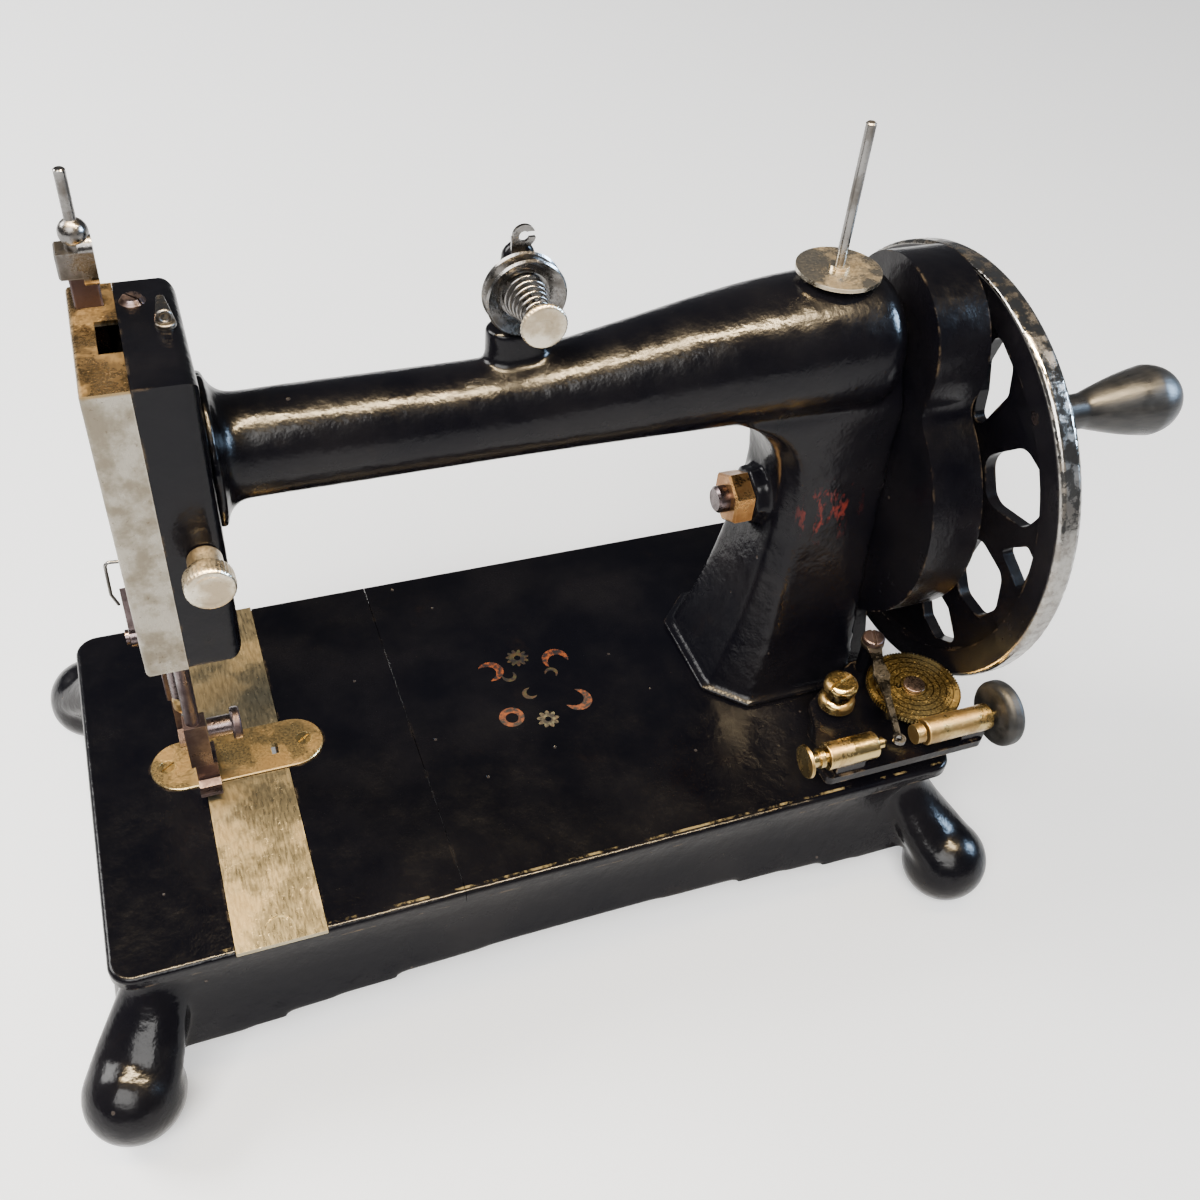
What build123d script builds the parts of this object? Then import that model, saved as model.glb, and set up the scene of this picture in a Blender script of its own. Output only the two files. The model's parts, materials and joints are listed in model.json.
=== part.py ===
from build123d import *
import math
import os

# A hand-crank sewing machine on a cast base with four ball feet.
# Millimetres. +X runs from the needle end to the handwheel, +Y to the back, +Z up.
# The origin is on the floor, at the middle of the whole machine's footprint.

# ---- driving dimensions -------------------------------------------------
bed_length = 370.0
bed_depth = 190.0
bed_top = 74.0
bed_thickness = 6.0
bed_corner = 10.0
bed_left = -214.0
bed_right = bed_left + bed_length
bed_front = -bed_depth / 2
bed_back = bed_depth / 2
seam_x = bed_left + 137.3
seam_gap = 0.3
free_gap = 0.3
running_gap = 0.05

foot_radius = 20.0
foot_out_x = 1.0
foot_out_y = 14.0
foot_centre_z = 19.2
skirt_bottom = 24.0
skirt_top = bed_top - bed_thickness
wall = 6.0

arm_y = 4.0
shaft_z = bed_top + 166.5
wheel_z = bed_top + 97.5
shaft_radius = 5.0
stud_radius = 6.0
bush_radius = 9.0

head_left = bed_left + 35.0
head_split = bed_left + 50.0
head_right = bed_left + 70.0
head_front = -29.5
head_back = 37.5
head_bottom = bed_top + 91.5
head_top = bed_top + 212.0
face_drop = 1.0
head_wall = 3.0
face_wall = 1.8

needle_x = bed_left + 43.6
needle_y = arm_y
needle_bar_radius = 3.2
presser_x = bed_left + 46.5
presser_y = arm_y - 11.0
presser_bar_radius = 3.0
feed_x = bed_left + 42.0
feed_y = arm_y + 22.0
feed_width_x = 9.0
feed_width_y = 7.0
crank_throw = 13.0
link_drop = 38.0

slide_left = bed_left + 46.4
slide_right = bed_left + 81.5
slide_thickness = 2.0
plate_front = arm_y - 14.0
plate_back = arm_y + 13.0
plate_left = bed_left + 25.3
plate_right = bed_left + 98.9
plate_thickness = 2.4
plate_proud = 0.9

wheel_radius = 100.2
wheel_in_x = bed_left + 379.2
wheel_out_x = bed_left + 389.8
rim_inner = 87.0
guard_left = bed_left + 346.0
guard_right = bed_left + 370.0

gear_module = 1.5
gear_teeth = 69
pinion_teeth = 23
gear_x = bed_left + 352.0
gear_width = 10.0

handle_radius = 88.0
handle_angle = 132.0

spindle_y = bed_front + 3.0
spindle_z = bed_top + 27.0
spindle_radius = 2.0
barrel_radius = 6.0
winder_x = bed_left + 320.0
winder_y = bed_front + 34.0
cam_radius = 21.5
worm_radius = 3.1
cam_x = bed_left + 355.6
cam_y = spindle_y + worm_radius + cam_radius + 0.25
lever_x = bed_left + 347.0
lever_y = bed_front + 53.5

tension_x = bed_left + 185.0
tension_z = bed_top + 210.8

rock_x = bed_left + 312.0

os.makedirs("parts", exist_ok=True)


def write(part, name):
    """Label one finished piece and write its STEP file."""
    part.label = name
    export_step(part, f"parts/{name}.step")


def facing_x(x, y, z):
    """A plane whose normal is +X, with local x along +Y and local y along +Z."""
    return Plane(origin=(x, y, z), x_dir=(0, 1, 0), z_dir=(1, 0, 0))


def facing_front(x, y, z):
    """A plane whose normal is -Y, with local x along +X and local y along +Z."""
    return Plane(origin=(x, y, z), x_dir=(1, 0, 0), z_dir=(0, -1, 0))


def level(x, y, z):
    """A level plane with its origin at the given point."""
    return Plane(origin=(x, y, z), x_dir=(1, 0, 0), z_dir=(0, 0, 1))


def outline(grow):
    """The bed's rounded rectangle, grown by the given amount, as length, depth and corner radius."""
    return bed_length + 2 * grow, bed_depth + 2 * grow, bed_corner + max(grow, -4.0)


bed_mid_x = (bed_left + bed_right) / 2
bed_screw_inset = 22.0
bed_screw_radius = 3.0
bed_nut_radius = 5.5
bed_screw_x = bed_length / 2 - bed_screw_inset
bed_screw_y = bed_depth / 2 - bed_screw_inset
bed_screw_spots = [(bed_mid_x + sx * bed_screw_x, sy * bed_screw_y) for sx in (-1, 1) for sy in (-1, 1)]
lug_height = 10.0

# ---- base: hollow skirt with a cove, four ball feet ----------------------
skirt_steps = [(skirt_top, -4.5), (56.0, -5.5), (44.0, -3.5), (33.0, 1.0), (skirt_bottom, 5.0)]
foot_x = bed_length / 2 + foot_out_x
foot_y = bed_depth / 2 + foot_out_y
neck_lean_x = 18.0
neck_lean_y = 31.0
# each station of a neck: its height, its share of the whole lean, its radius
neck_stations = [(25.2, 0.0, 18.8), (33.0, 0.26, 17.6), (41.0, 0.55, 15.6), (51.0, 0.84, 13.0),
                 (63.0, 1.0, 10.6)]
foot_places = [(sx * foot_x, sy * foot_y) for sx in (-1, 1) for sy in (-1, 1)]

with BuildPart() as base_casting:
    for height, grow in skirt_steps:
        with BuildSketch(level(bed_mid_x, 0, height)):
            RectangleRounded(*outline(grow))
    loft()
    for height, grow in skirt_steps:
        with BuildSketch(level(bed_mid_x, 0, height)):
            RectangleRounded(*outline(grow - wall))
    loft(mode=Mode.SUBTRACT)
    # shallow arches between the feet, on the long and on the short sides
    with BuildSketch(Plane.XZ):
        with BuildLine():
            ThreePointArc((bed_mid_x - 150, skirt_bottom - 1), (bed_mid_x, skirt_bottom + 7),
                          (bed_mid_x + 150, skirt_bottom - 1))
            Line((bed_mid_x + 150, skirt_bottom - 1), (bed_mid_x - 150, skirt_bottom - 1))
        make_face()
    extrude(amount=bed_depth, both=True, mode=Mode.SUBTRACT)
    with BuildSketch(Plane.YZ):
        with BuildLine():
            ThreePointArc((-62, skirt_bottom - 1), (0, skirt_bottom + 6), (62, skirt_bottom - 1))
            Line((62, skirt_bottom - 1), (-62, skirt_bottom - 1))
        make_face()
    extrude(amount=bed_length, both=True, mode=Mode.SUBTRACT)
    # each foot is a ball, joined to the skirt's corner by a leaning neck
    for fx, fy in foot_places:
        with Locations((bed_mid_x + fx, fy, foot_centre_z)):
            Sphere(foot_radius)
        for height, share, radius in neck_stations:
            lean_x = math.copysign(share * neck_lean_x, fx)
            lean_y = math.copysign(share * neck_lean_y, fy)
            with BuildSketch(level(bed_mid_x + fx - lean_x, fy - lean_y, height)):
                Circle(radius)
        loft()
    # the balls are cut flat where they stand on the floor
    with Locations((bed_mid_x, 0, 0)):
        Box(bed_length + 200, bed_depth + 200, 20, align=(Align.CENTER, Align.CENTER, Align.MAX),
            mode=Mode.SUBTRACT)
    # lugs that take the bed screws
    with BuildSketch(level(bed_mid_x, 0, skirt_top)):
        with GridLocations(bed_length - 40, bed_depth - 40, 2, 2):
            Rectangle(22, 22)
    extrude(amount=-lug_height)
    with Locations(*[(x, y, skirt_top) for x, y in bed_screw_spots]):
        Hole(radius=bed_screw_radius + running_gap, depth=30)
    # room for each screw's nut, open to the inside of the base
    with Locations(*[(x, y, skirt_top - lug_height) for x, y in bed_screw_spots]):
        Cylinder(bed_nut_radius + 0.8, 16, align=(Align.CENTER, Align.CENTER, Align.MAX), mode=Mode.SUBTRACT)
write(base_casting.part, "base_casting")

# ---- bed: a right plate under the pillar and a left plate over the shuttle ----
with BuildPart() as bed_plate:
    with BuildSketch(level(bed_mid_x, 0, skirt_top)):
        RectangleRounded(bed_length, bed_depth, bed_corner)
    extrude(amount=bed_thickness)
    fillet(bed_plate.edges().group_by(Axis.Z)[-1], 2.2)
    with Locations((seam_x - 100 + seam_gap / 2, 0, bed_top)):
        Box(200, bed_depth + 20, 40, mode=Mode.SUBTRACT)
    with Locations(*[(x, y, skirt_top + 2) for x, y in bed_screw_spots]):
        Cylinder(bed_screw_radius + running_gap, 6, mode=Mode.SUBTRACT)
    with Locations((rock_x, arm_y, bed_top)):
        Cylinder(bush_radius, 30, mode=Mode.SUBTRACT)
write(bed_plate.part, "bed_plate")

plate_screw_radius = 1.45
plate_screw_places = [(plate_left + 7.2, arm_y, bed_top + plate_proud),
                      (plate_right - 8.2, arm_y, bed_top + plate_proud)]
race_left = slide_left + 3.5
race_right = slide_right - 3.5
slide_bottom = bed_top - slide_thickness
with BuildPart() as shuttle_bed_plate:
    with BuildSketch(level(bed_mid_x, 0, skirt_top)):
        RectangleRounded(bed_length, bed_depth, bed_corner)
    extrude(amount=bed_thickness)
    fillet(shuttle_bed_plate.edges().group_by(Axis.Z)[-1], 2.2)
    with Locations((seam_x + 150 - seam_gap / 2, 0, bed_top)):
        Box(300, bed_depth + 20, 40, mode=Mode.SUBTRACT)
    # groove for the two slides, a window down to the shuttle, and a seat for the needle plate
    with Locations(((slide_left + slide_right) / 2, 0, bed_top)):
        Box(slide_right - slide_left + 2 * free_gap, bed_depth + 20, 2 * slide_thickness + 2 * free_gap,
            mode=Mode.SUBTRACT)
    with Locations(((race_left + race_right) / 2 - 1, 0, bed_top)):
        Box(race_right - race_left + 2, 150, 60, mode=Mode.SUBTRACT)
    with BuildSketch(level((plate_left + plate_right) / 2, (plate_front + plate_back) / 2, bed_top)):
        SlotOverall(plate_right - plate_left, plate_back - plate_front)
    extrude(amount=-(plate_thickness - plate_proud), mode=Mode.SUBTRACT)
    with Locations((needle_x, needle_y, bed_top)):
        Cylinder(4.0, 40, mode=Mode.SUBTRACT)
    with Locations(*[(x, y, skirt_top + 2) for x, y in bed_screw_spots]):
        Cylinder(bed_screw_radius + running_gap, 6, mode=Mode.SUBTRACT)
    with Locations(*plate_screw_places):
        Cylinder(plate_screw_radius + running_gap, 40, mode=Mode.SUBTRACT)
write(shuttle_bed_plate.part, "shuttle_bed_plate")

with BuildPart() as bed_screws:
    with Locations(*[(x, y, skirt_top - lug_height) for x, y in bed_screw_spots]):
        Cylinder(bed_screw_radius, lug_height + 5, align=(Align.CENTER, Align.CENTER, Align.MIN))
        Cylinder(bed_nut_radius, 4, align=(Align.CENTER, Align.CENTER, Align.MAX))
        with Locations((0, 0, -4)):
            Box(12, 1.4, 2.4, mode=Mode.SUBTRACT)
write(bed_screws.part, "bed_screws")

# ---- slides and needle plate ---------------------------------------------
slide_mid = (slide_left + slide_right) / 2
slide_width = slide_right - slide_left


def slide_plate(y_start, y_end, grip_y):
    """One thin slide, with a half-moon grip cut near its outer end."""
    with BuildPart() as slide:
        with Locations((slide_mid, (y_start + y_end) / 2, slide_bottom)):
            Box(slide_width, abs(y_end - y_start), slide_thickness,
                align=(Align.CENTER, Align.CENTER, Align.MIN))
        with BuildSketch(level(slide_mid, grip_y, bed_top)):
            Circle(5.5)
            with Locations((0, math.copysign(5.5, grip_y))):
                Rectangle(12, 8, mode=Mode.SUBTRACT)
        extrude(amount=-0.8, mode=Mode.SUBTRACT)
    return slide.part


write(slide_plate(bed_front, plate_front - free_gap, bed_front + 7), "front_slide")
write(slide_plate(plate_back + free_gap, bed_back, bed_back - 7), "back_slide")

plate_bottom = bed_top - plate_thickness + plate_proud
with BuildPart() as needle_plate:
    with BuildSketch(level((plate_left + plate_right) / 2, (plate_front + plate_back) / 2, plate_bottom)):
        SlotOverall(plate_right - plate_left - 0.2, plate_back - plate_front - 0.2)
    extrude(amount=plate_thickness)
    chamfer(needle_plate.edges().group_by(Axis.Z)[-1], 0.4)
    with Locations((needle_x, needle_y, bed_top)):
        Cylinder(1.6, 20, mode=Mode.SUBTRACT)
    with Locations((plate_right - 21.4, arm_y - 2.5, bed_top)):
        Box(3.0, 6.0, 20, mode=Mode.SUBTRACT)
    with Locations(*plate_screw_places):
        CounterSinkHole(radius=plate_screw_radius + running_gap, counter_sink_radius=3.6, depth=20)
write(needle_plate.part, "needle_plate")


def countersunk_screws(places, radius, head_radius, length):
    """Slotted countersunk screws at the given points, heads flush with the points' height."""
    with BuildPart() as screws:
        for x, y, z in places:
            with Locations((x, y, z - length)):
                Cylinder(radius, length, align=(Align.CENTER, Align.CENTER, Align.MIN))
            with Locations((x, y, z - (head_radius - radius))):
                Cone(radius, head_radius, head_radius - radius,
                     align=(Align.CENTER, Align.CENTER, Align.MIN))
            with Locations(Location((x, y, z), (0, 0, 35))):
                Box(3 * head_radius, 0.8, 1.4, mode=Mode.SUBTRACT)
    return screws.part


write(countersunk_screws(plate_screw_places, plate_screw_radius, 3.5, 6.4), "needle_plate_screws")

# ---- arm and pillar: one casting ------------------------------------------
neck_radius = 19.2
shoulder_radius = 29.2
neck_height = 162.5
shoulder_height = 172.6
arm_start = 76.0
arm_end = 341.0
arm_station_count = 14
flange_left = 274.0
flange_half = 41.0
flange_corner = 16.5
flange_height = 2.5
pillar_stations = [(0.0, 277.0, 38.0, 15.0), (6.0, 279.0, 36.5, 14.0), (26.0, 286.0, 33.0, 12.0),
                   (50.0, 292.0, 29.5, 10.0), (80.0, 296.6, 26.0, 8.6), (105.0, 298.4, 24.0, 8.0),
                   (124.0, 296.0, 23.2, 7.6), (137.0, 289.0, 22.8, 7.3), (146.0, 278.0, 22.5, 7.0),
                   (165.0, 276.0, 14.0, 5.0)]


def smooth_step(value, low, high):
    """Zero below low, one above high, and a smooth rise between them."""
    t = min(max((value - low) / (high - low), 0.0), 1.0)
    return t * t * (3 - 2 * t)


def pillar_section(left, half, corner):
    """An eight-sided section from the given left side to the guard, with cut corners."""
    right = guard_left - bed_left
    points = [(left + corner, -half), (right, -half), (right, half), (left + corner, half),
              (left, half - corner), (left, corner - half)]
    return [(x + bed_left, y + arm_y) for x, y in points]


with BuildPart() as arm_casting:
    for station in range(arm_station_count):
        x = arm_start + (arm_end - arm_start) * station / (arm_station_count - 1)
        z = neck_height + (shoulder_height - neck_height) * smooth_step(x, 165, 312)
        radius = neck_radius + (shoulder_radius - neck_radius) * smooth_step(x, 165, 318)
        with BuildSketch(facing_x(bed_left + x, arm_y, bed_top + z)):
            Circle(radius)
    loft()
    fillet(arm_casting.edges().group_by(Axis.X)[-1], 13)
    # boss round the shaft, between the shoulder and the gear guard
    with BuildSketch(facing_x(bed_left + 330, arm_y, shaft_z)):
        Circle(15)
    extrude(amount=guard_left - bed_left - 330)
    # flange round the pillar's foot
    with BuildSketch(level(0, 0, bed_top)):
        with BuildLine():
            Polyline(*pillar_section(flange_left, flange_half, flange_corner), close=True)
        make_face()
    extrude(amount=flange_height)
    for z, left, half, corner in pillar_stations:
        with BuildSketch(Plane.XY.offset(bed_top + z)):
            with BuildLine():
                Polyline(*pillar_section(left, half, corner), close=True)
            make_face()
    loft()
    # flared neck where the arm meets the head
    with BuildSketch(Plane(origin=(head_right, arm_y, bed_top + 162.5), x_dir=(1, 0, 0), z_dir=(0, -1, 0))):
        with BuildLine():
            Line((0, 0), (0, 28))
            Line((0, 28), (3, 28))
            CenterArc((12, 28), 9, 180, 90)
            Line((12, 19), (12, 0))
            Line((12, 0), (0, 0))
        make_face()
    revolve(axis=Axis((head_right, arm_y, bed_top + 162.5), (1, 0, 0)))
    # boss for the wheel stud's nut, and the upright boss that carries the tension
    with BuildSketch(facing_x(bed_left + 291, arm_y, wheel_z)):
        RegularPolygon(13.5, 8)
    extrude(amount=20)
    with BuildSketch(level(tension_x, arm_y + 4, bed_top + 178)):
        SlotOverall(24, 15)
    extrude(amount=17)
    with BuildSketch(facing_front(tension_x, arm_y + 8.5, tension_z)):
        SlotCenterToCenter(20, 13, rotation=90)
    extrude(amount=6)
    # bores: main shaft, bushes, wheel stud, rock shaft, spool pin, tension stud
    with Locations(Plane.YZ.offset(0).location):
        with Locations((arm_y, shaft_z, bed_left + 210)):
            Cylinder(shaft_radius + 3, 300, mode=Mode.SUBTRACT)
        with Locations((arm_y, shaft_z, bed_left + 84), (arm_y, shaft_z, bed_left + 333)):
            Cylinder(bush_radius, 30, mode=Mode.SUBTRACT)
        with Locations((arm_y, wheel_z, bed_left + 320)):
            Cylinder(stud_radius, 80, mode=Mode.SUBTRACT)
    with Locations((rock_x, arm_y, bed_top)):
        Cylinder(shaft_radius + running_gap, 130, mode=Mode.SUBTRACT)
    with Locations((bed_left + 314, arm_y, bed_top + 205)):
        Cylinder(2.0, 40, mode=Mode.SUBTRACT)
    with Locations(facing_front(tension_x, arm_y, tension_z).location):
        Cylinder(2.2, 60, mode=Mode.SUBTRACT)
    with Locations((bed_left + 245, arm_y, bed_top + 191), (bed_left + 90, arm_y, bed_top + 182)):
        Cylinder(1.3, 16, mode=Mode.SUBTRACT)
write(arm_casting.part, "arm_casting")

# ---- head: black casing and bright face plate ------------------------------
head_mid_y = (head_front + head_back) / 2
head_mid_z = (head_bottom + head_top) / 2
with BuildPart() as head_casing:
    with Locations(((head_split + head_right) / 2, head_mid_y, head_mid_z)):
        Box(head_right - head_split, head_back - head_front, head_top - head_bottom)
    fillet(head_casing.faces().sort_by(Axis.X)[-1].edges(), 5)
    with Locations(((head_split + head_right) / 2 - head_wall, head_mid_y, head_mid_z)):
        Box(head_right - head_split, head_back - head_front - 2 * head_wall,
            head_top - head_bottom - 2 * head_wall, mode=Mode.SUBTRACT)
    with Locations(Location((head_right, arm_y, shaft_z), (0, 90, 0))):
        Cylinder(bush_radius, 20, mode=Mode.SUBTRACT)
    with Locations((bed_left + 64.3, arm_y + 6, head_top)):
        Cylinder(1.5, 20, mode=Mode.SUBTRACT)
    with Locations((bed_left + 55.5, arm_y + 20, head_top)):
        Cylinder(1.9, 20, mode=Mode.SUBTRACT)
    with Locations(facing_front(bed_left + 62.3, head_front, bed_top + 142).location):
        Cylinder(2.5 + running_gap, 20, mode=Mode.SUBTRACT)
write(head_casing.part, "head_casing")

face_bottom = head_bottom - face_drop
face_right = head_split - 0.1
slot_left = bed_left + 42.5
with BuildPart() as face_plate:
    with Locations(((head_left + face_right) / 2, head_mid_y, (face_bottom + head_top) / 2)):
        Box(face_right - head_left, head_back - head_front, head_top - face_bottom)
    fillet(face_plate.faces().sort_by(Axis.X)[0].edges(), 1.6)
    with Locations(((head_left + face_right) / 2 + face_wall, head_mid_y, (face_bottom + head_top) / 2)):
        Box(face_right - head_left, head_back - head_front - 2 * face_wall,
            head_top - face_bottom - 2 * face_wall, mode=Mode.SUBTRACT)
    # slot for the take-up, and guide holes for the three bars
    with Locations((slot_left + 5, arm_y - 1, head_top)):
        Box(10, 20, 10, mode=Mode.SUBTRACT)
    with Locations((feed_x, feed_y, head_mid_z)):
        Box(feed_width_x + 2 * running_gap, feed_width_y + 2 * running_gap, 200, mode=Mode.SUBTRACT)
    with Locations((needle_x, needle_y, face_bottom)):
        Cylinder(needle_bar_radius + running_gap, 20, mode=Mode.SUBTRACT)
    with Locations((presser_x, presser_y, face_bottom)):
        Cylinder(presser_bar_radius + running_gap, 20, mode=Mode.SUBTRACT)
write(face_plate.part, "face_plate")

# a polished teardrop eyelet on the head's top, and a bent wire on its left side
with BuildPart() as eyelet:
    with BuildSketch(level(bed_left + 64.3, arm_y + 6, head_top + 0.01)):
        with BuildLine():
            ThreePointArc((-3.4, -4.0), (0, -7.4), (3.4, -4.0))
            Line((3.4, -4.0), (1.5, 12))
            ThreePointArc((1.5, 12), (0, 13.5), (-1.5, 12))
            Line((-1.5, 12), (-3.4, -4.0))
        make_face()
    extrude(amount=1.6)
    fillet(eyelet.edges().group_by(Axis.Z)[-1], 0.7)
    with Locations((bed_left + 64.3, arm_y + 6, head_top + 1)):
        Cylinder(1.45, 6, align=(Align.CENTER, Align.CENTER, Align.MAX))
    with Locations(Location((bed_left + 64.3, arm_y + 1.5, head_top + 3.4), (90, 0, 0))):
        Torus(2.0, 0.8)

with BuildPart() as thread_guides:
    add(eyelet.part)
    with BuildLine() as wire_path:
        FilletPolyline((head_left - 0.2, arm_y + 29, bed_top + 94), (bed_left + 26, arm_y + 29, bed_top + 95),
                       (bed_left + 25.5, arm_y + 29, bed_top + 78), (bed_left + 27.5, arm_y + 29, bed_top + 72),
                       radius=2.0)
    with BuildSketch(Plane(origin=wire_path.line @ 0, z_dir=wire_path.line % 0)):
        Circle(0.7)
    sweep()
write(thread_guides.part, "thread_guides")

with BuildPart() as face_knob:
    with BuildSketch(Plane.YZ.offset(bed_left + 62.3)):
        with BuildLine():
            Polyline((head_front + 3, bed_top + 142), (head_front + 3, bed_top + 144.5),
                     (head_front - free_gap, bed_top + 144.5), (head_front - free_gap, bed_top + 148.2),
                     (head_front - 9, bed_top + 148.0), (head_front - 10, bed_top + 150.8),
                     (head_front - 16.5, bed_top + 150.8), (head_front - 17.5, bed_top + 149.6),
                     (head_front - 17.5, bed_top + 142), close=True)
        make_face()
    revolve(axis=Axis((bed_left + 62.3, 0, bed_top + 142), (0, 1, 0)))
write(face_knob.part, "face_knob")

# ---- gear guard, wheel stud and its nut -------------------------------------
guard_rim = 2.5
guard_back = 3.0
low_lobe = 63.0
high_lobe = 36.0


def guard_lobes(inset, x_start, x_end):
    """Two overlapping round lobes, one on each shaft, with the waist between them rounded."""
    with BuildPart() as lobes:
        with BuildSketch(facing_x(x_start, arm_y, wheel_z)):
            Circle(low_lobe - inset)
            with Locations((0, shaft_z + 2 - wheel_z)):
                Circle(high_lobe - inset)
        extrude(amount=x_end - x_start)
        waist = lobes.edges().filter_by(Axis.X).filter_by(lambda e: abs(e.center().Y - arm_y) > 20)
        fillet(waist, 9 + inset)
    return lobes.part


guard_outer = guard_lobes(0, guard_left, guard_right)
guard_inner = guard_lobes(guard_rim, guard_left + guard_back, guard_right + 10)
with BuildPart() as gear_guard:
    add(guard_outer)
    with BuildSketch(facing_x(guard_left, arm_y, bed_top)):
        Trapezoid(64, 45, 72, align=(Align.CENTER, Align.MIN))
    extrude(amount=12)
    add(guard_inner, mode=Mode.SUBTRACT)
    with Locations(Location((guard_left, arm_y, shaft_z), (0, 90, 0))):
        Cylinder(bush_radius, 30, mode=Mode.SUBTRACT)
    with Locations(Location((guard_left, arm_y, wheel_z), (0, 90, 0))):
        Cylinder(stud_radius, 30, mode=Mode.SUBTRACT)
    with Locations(*[Location((guard_left, arm_y + side * 14, wheel_z + rise), (0, 90, 0))
                     for side in (-1, 1) for rise in (-30, 30)]):
        Cylinder(2.0, 30, mode=Mode.SUBTRACT)
write(gear_guard.part, "gear_guard")

head_screw_place = (bed_left + 55.5, arm_y + 20, head_top)
with BuildPart() as casing_screws:
    with Locations(*[Location((guard_left + guard_back, arm_y + side * 14, wheel_z + rise), (0, 90, 0))
                     for side in (-1, 1) for rise in (-30, 30)]):
        Cylinder(1.95, guard_back, align=(Align.CENTER, Align.CENTER, Align.MAX))
        Cylinder(3.6, 1.8, align=(Align.CENTER, Align.CENTER, Align.MIN))
    with Locations(*[(guard_left + guard_back + 1.8, arm_y + side * 14, wheel_z + rise)
                     for side in (-1, 1) for rise in (-30, 30)]):
        Box(1.6, 12, 0.9, mode=Mode.SUBTRACT)
    with Locations(head_screw_place):
        Cylinder(1.85, 5, align=(Align.CENTER, Align.CENTER, Align.MAX))
        Cone(4.4, 3.2, 1.6, align=(Align.CENTER, Align.CENTER, Align.MIN))
    with Locations(Location(head_screw_place, (0, 0, -50))):
        Box(12, 0.9, 1.6, align=(Align.CENTER, Align.CENTER, Align.MIN), mode=Mode.SUBTRACT)
write(casing_screws.part, "casing_screws")

nut_left = bed_left + 282
nut_right = bed_left + 291
hub_right = bed_left + 393
with BuildPart() as wheel_stud:
    with Locations(Location((bed_left + 277, arm_y, wheel_z), (0, 90, 0))):
        Cylinder(stud_radius, 117, align=(Align.CENTER, Align.CENTER, Align.MIN))
    chamfer(wheel_stud.edges().group_by(Axis.X)[0], 1.0)
    with Locations(Location((hub_right + free_gap, arm_y, wheel_z), (0, 90, 0))):
        Cylinder(9.5, 3.2, align=(Align.CENTER, Align.CENTER, Align.MIN))
    fillet(wheel_stud.edges().group_by(Axis.X)[-1], 1.0)
    with Locations((hub_right + free_gap + 3.2, arm_y, wheel_z)):
        Box(2.6, 30, 1.6, mode=Mode.SUBTRACT)
write(wheel_stud.part, "wheel_stud")

with BuildPart() as stud_nut:
    with BuildSketch(facing_x(nut_left, arm_y, wheel_z)):
        RegularPolygon(12.2, 6, rotation=30)
        Circle(stud_radius, mode=Mode.SUBTRACT)
    extrude(amount=nut_right - nut_left)
    chamfer(stud_nut.faces().sort_by(Axis.X)[0].outer_wire().edges(), 0.9)
write(stud_nut.part, "stud_nut")


# two plain bronze bushes on the arm shaft's line, bored for a running fit
with BuildPart() as arm_bushes:
    for x_middle, length in ((bed_left + 83, 32), (bed_left + 333.5, 29)):
        with Locations(Location((x_middle, arm_y, shaft_z), (0, 90, 0))):
            Cylinder(bush_radius, length)
            Cylinder(shaft_radius + running_gap, length, mode=Mode.SUBTRACT)
write(arm_bushes.part, "arm_bushes")

# ---- handwheel with its gear --------------------------------------------------
# each window is a polygon of (angle, radius) corners, seen along the axis from the needle end
window_shapes = [
    ([(140, 49), (139, 77), (147, 85.5), (158, 85.5), (165, 76), (163.5, 50)], 8.6),
    ([(182, 49.5), (186, 72), (198, 79), (209, 76), (215, 63), (211, 51)], 6.8),
    ([(178, 65), (169.5, 80), (172, 85.5), (185, 84)], 2.4),
    ([(225, 85), (236, 83), (242, 74), (245, 52), (240, 47), (232, 58), (225, 68)], 3.6)]


def polar_point(angle, radius):
    """A point at the given angle and radius, angle from +Y towards +Z."""
    return radius * math.cos(math.radians(angle)), radius * math.sin(math.radians(angle))


with BuildPart() as handwheel:
    with BuildSketch(Plane.XZ.offset(-arm_y)):
        with Locations((wheel_in_x, wheel_z + rim_inner)):
            Rectangle(wheel_out_x - wheel_in_x, wheel_radius - rim_inner, align=(Align.MIN, Align.MIN))
        with Locations((wheel_in_x + 2.6, wheel_z + 12)):
            Rectangle(5.4, rim_inner - 10, align=(Align.MIN, Align.MIN))
        with Locations((bed_left + 366, wheel_z + stud_radius + running_gap)):
            Rectangle(27, 11, align=(Align.MIN, Align.MIN))
    revolve(axis=Axis((0, arm_y, wheel_z), (1, 0, 0)))
    circles = handwheel.edges().filter_by(GeomType.CIRCLE)
    fillet(circles.filter_by(lambda e: e.radius > wheel_radius - 0.1), 2.4)
    with BuildSketch(facing_x(wheel_in_x - 5, arm_y, wheel_z)):
        for turn in (0, 120, 240):
            for corners, rounding in window_shapes:
                with BuildSketch(mode=Mode.PRIVATE) as window:
                    with BuildLine():
                        Polyline(*[polar_point(a + turn, r) for a, r in corners], close=True)
                    make_face()
                    fillet(window.vertices(), rounding)
                add(window.sketch)
    extrude(amount=20, mode=Mode.SUBTRACT)
    # boss and hole for the crank stud, on the plain spoke
    grip_y, grip_z = polar_point(handle_angle, handle_radius)
    with Locations(Location((wheel_in_x + 2.6, arm_y + grip_y, wheel_z + grip_z), (0, 90, 0))):
        Cylinder(7.5, 8.6, align=(Align.CENTER, Align.CENTER, Align.MIN))
    with Locations(Location((wheel_in_x, arm_y + grip_y, wheel_z + grip_z), (0, 90, 0))):
        Cylinder(3.0, 60, mode=Mode.SUBTRACT)
write(handwheel.part, "handwheel")

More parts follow.
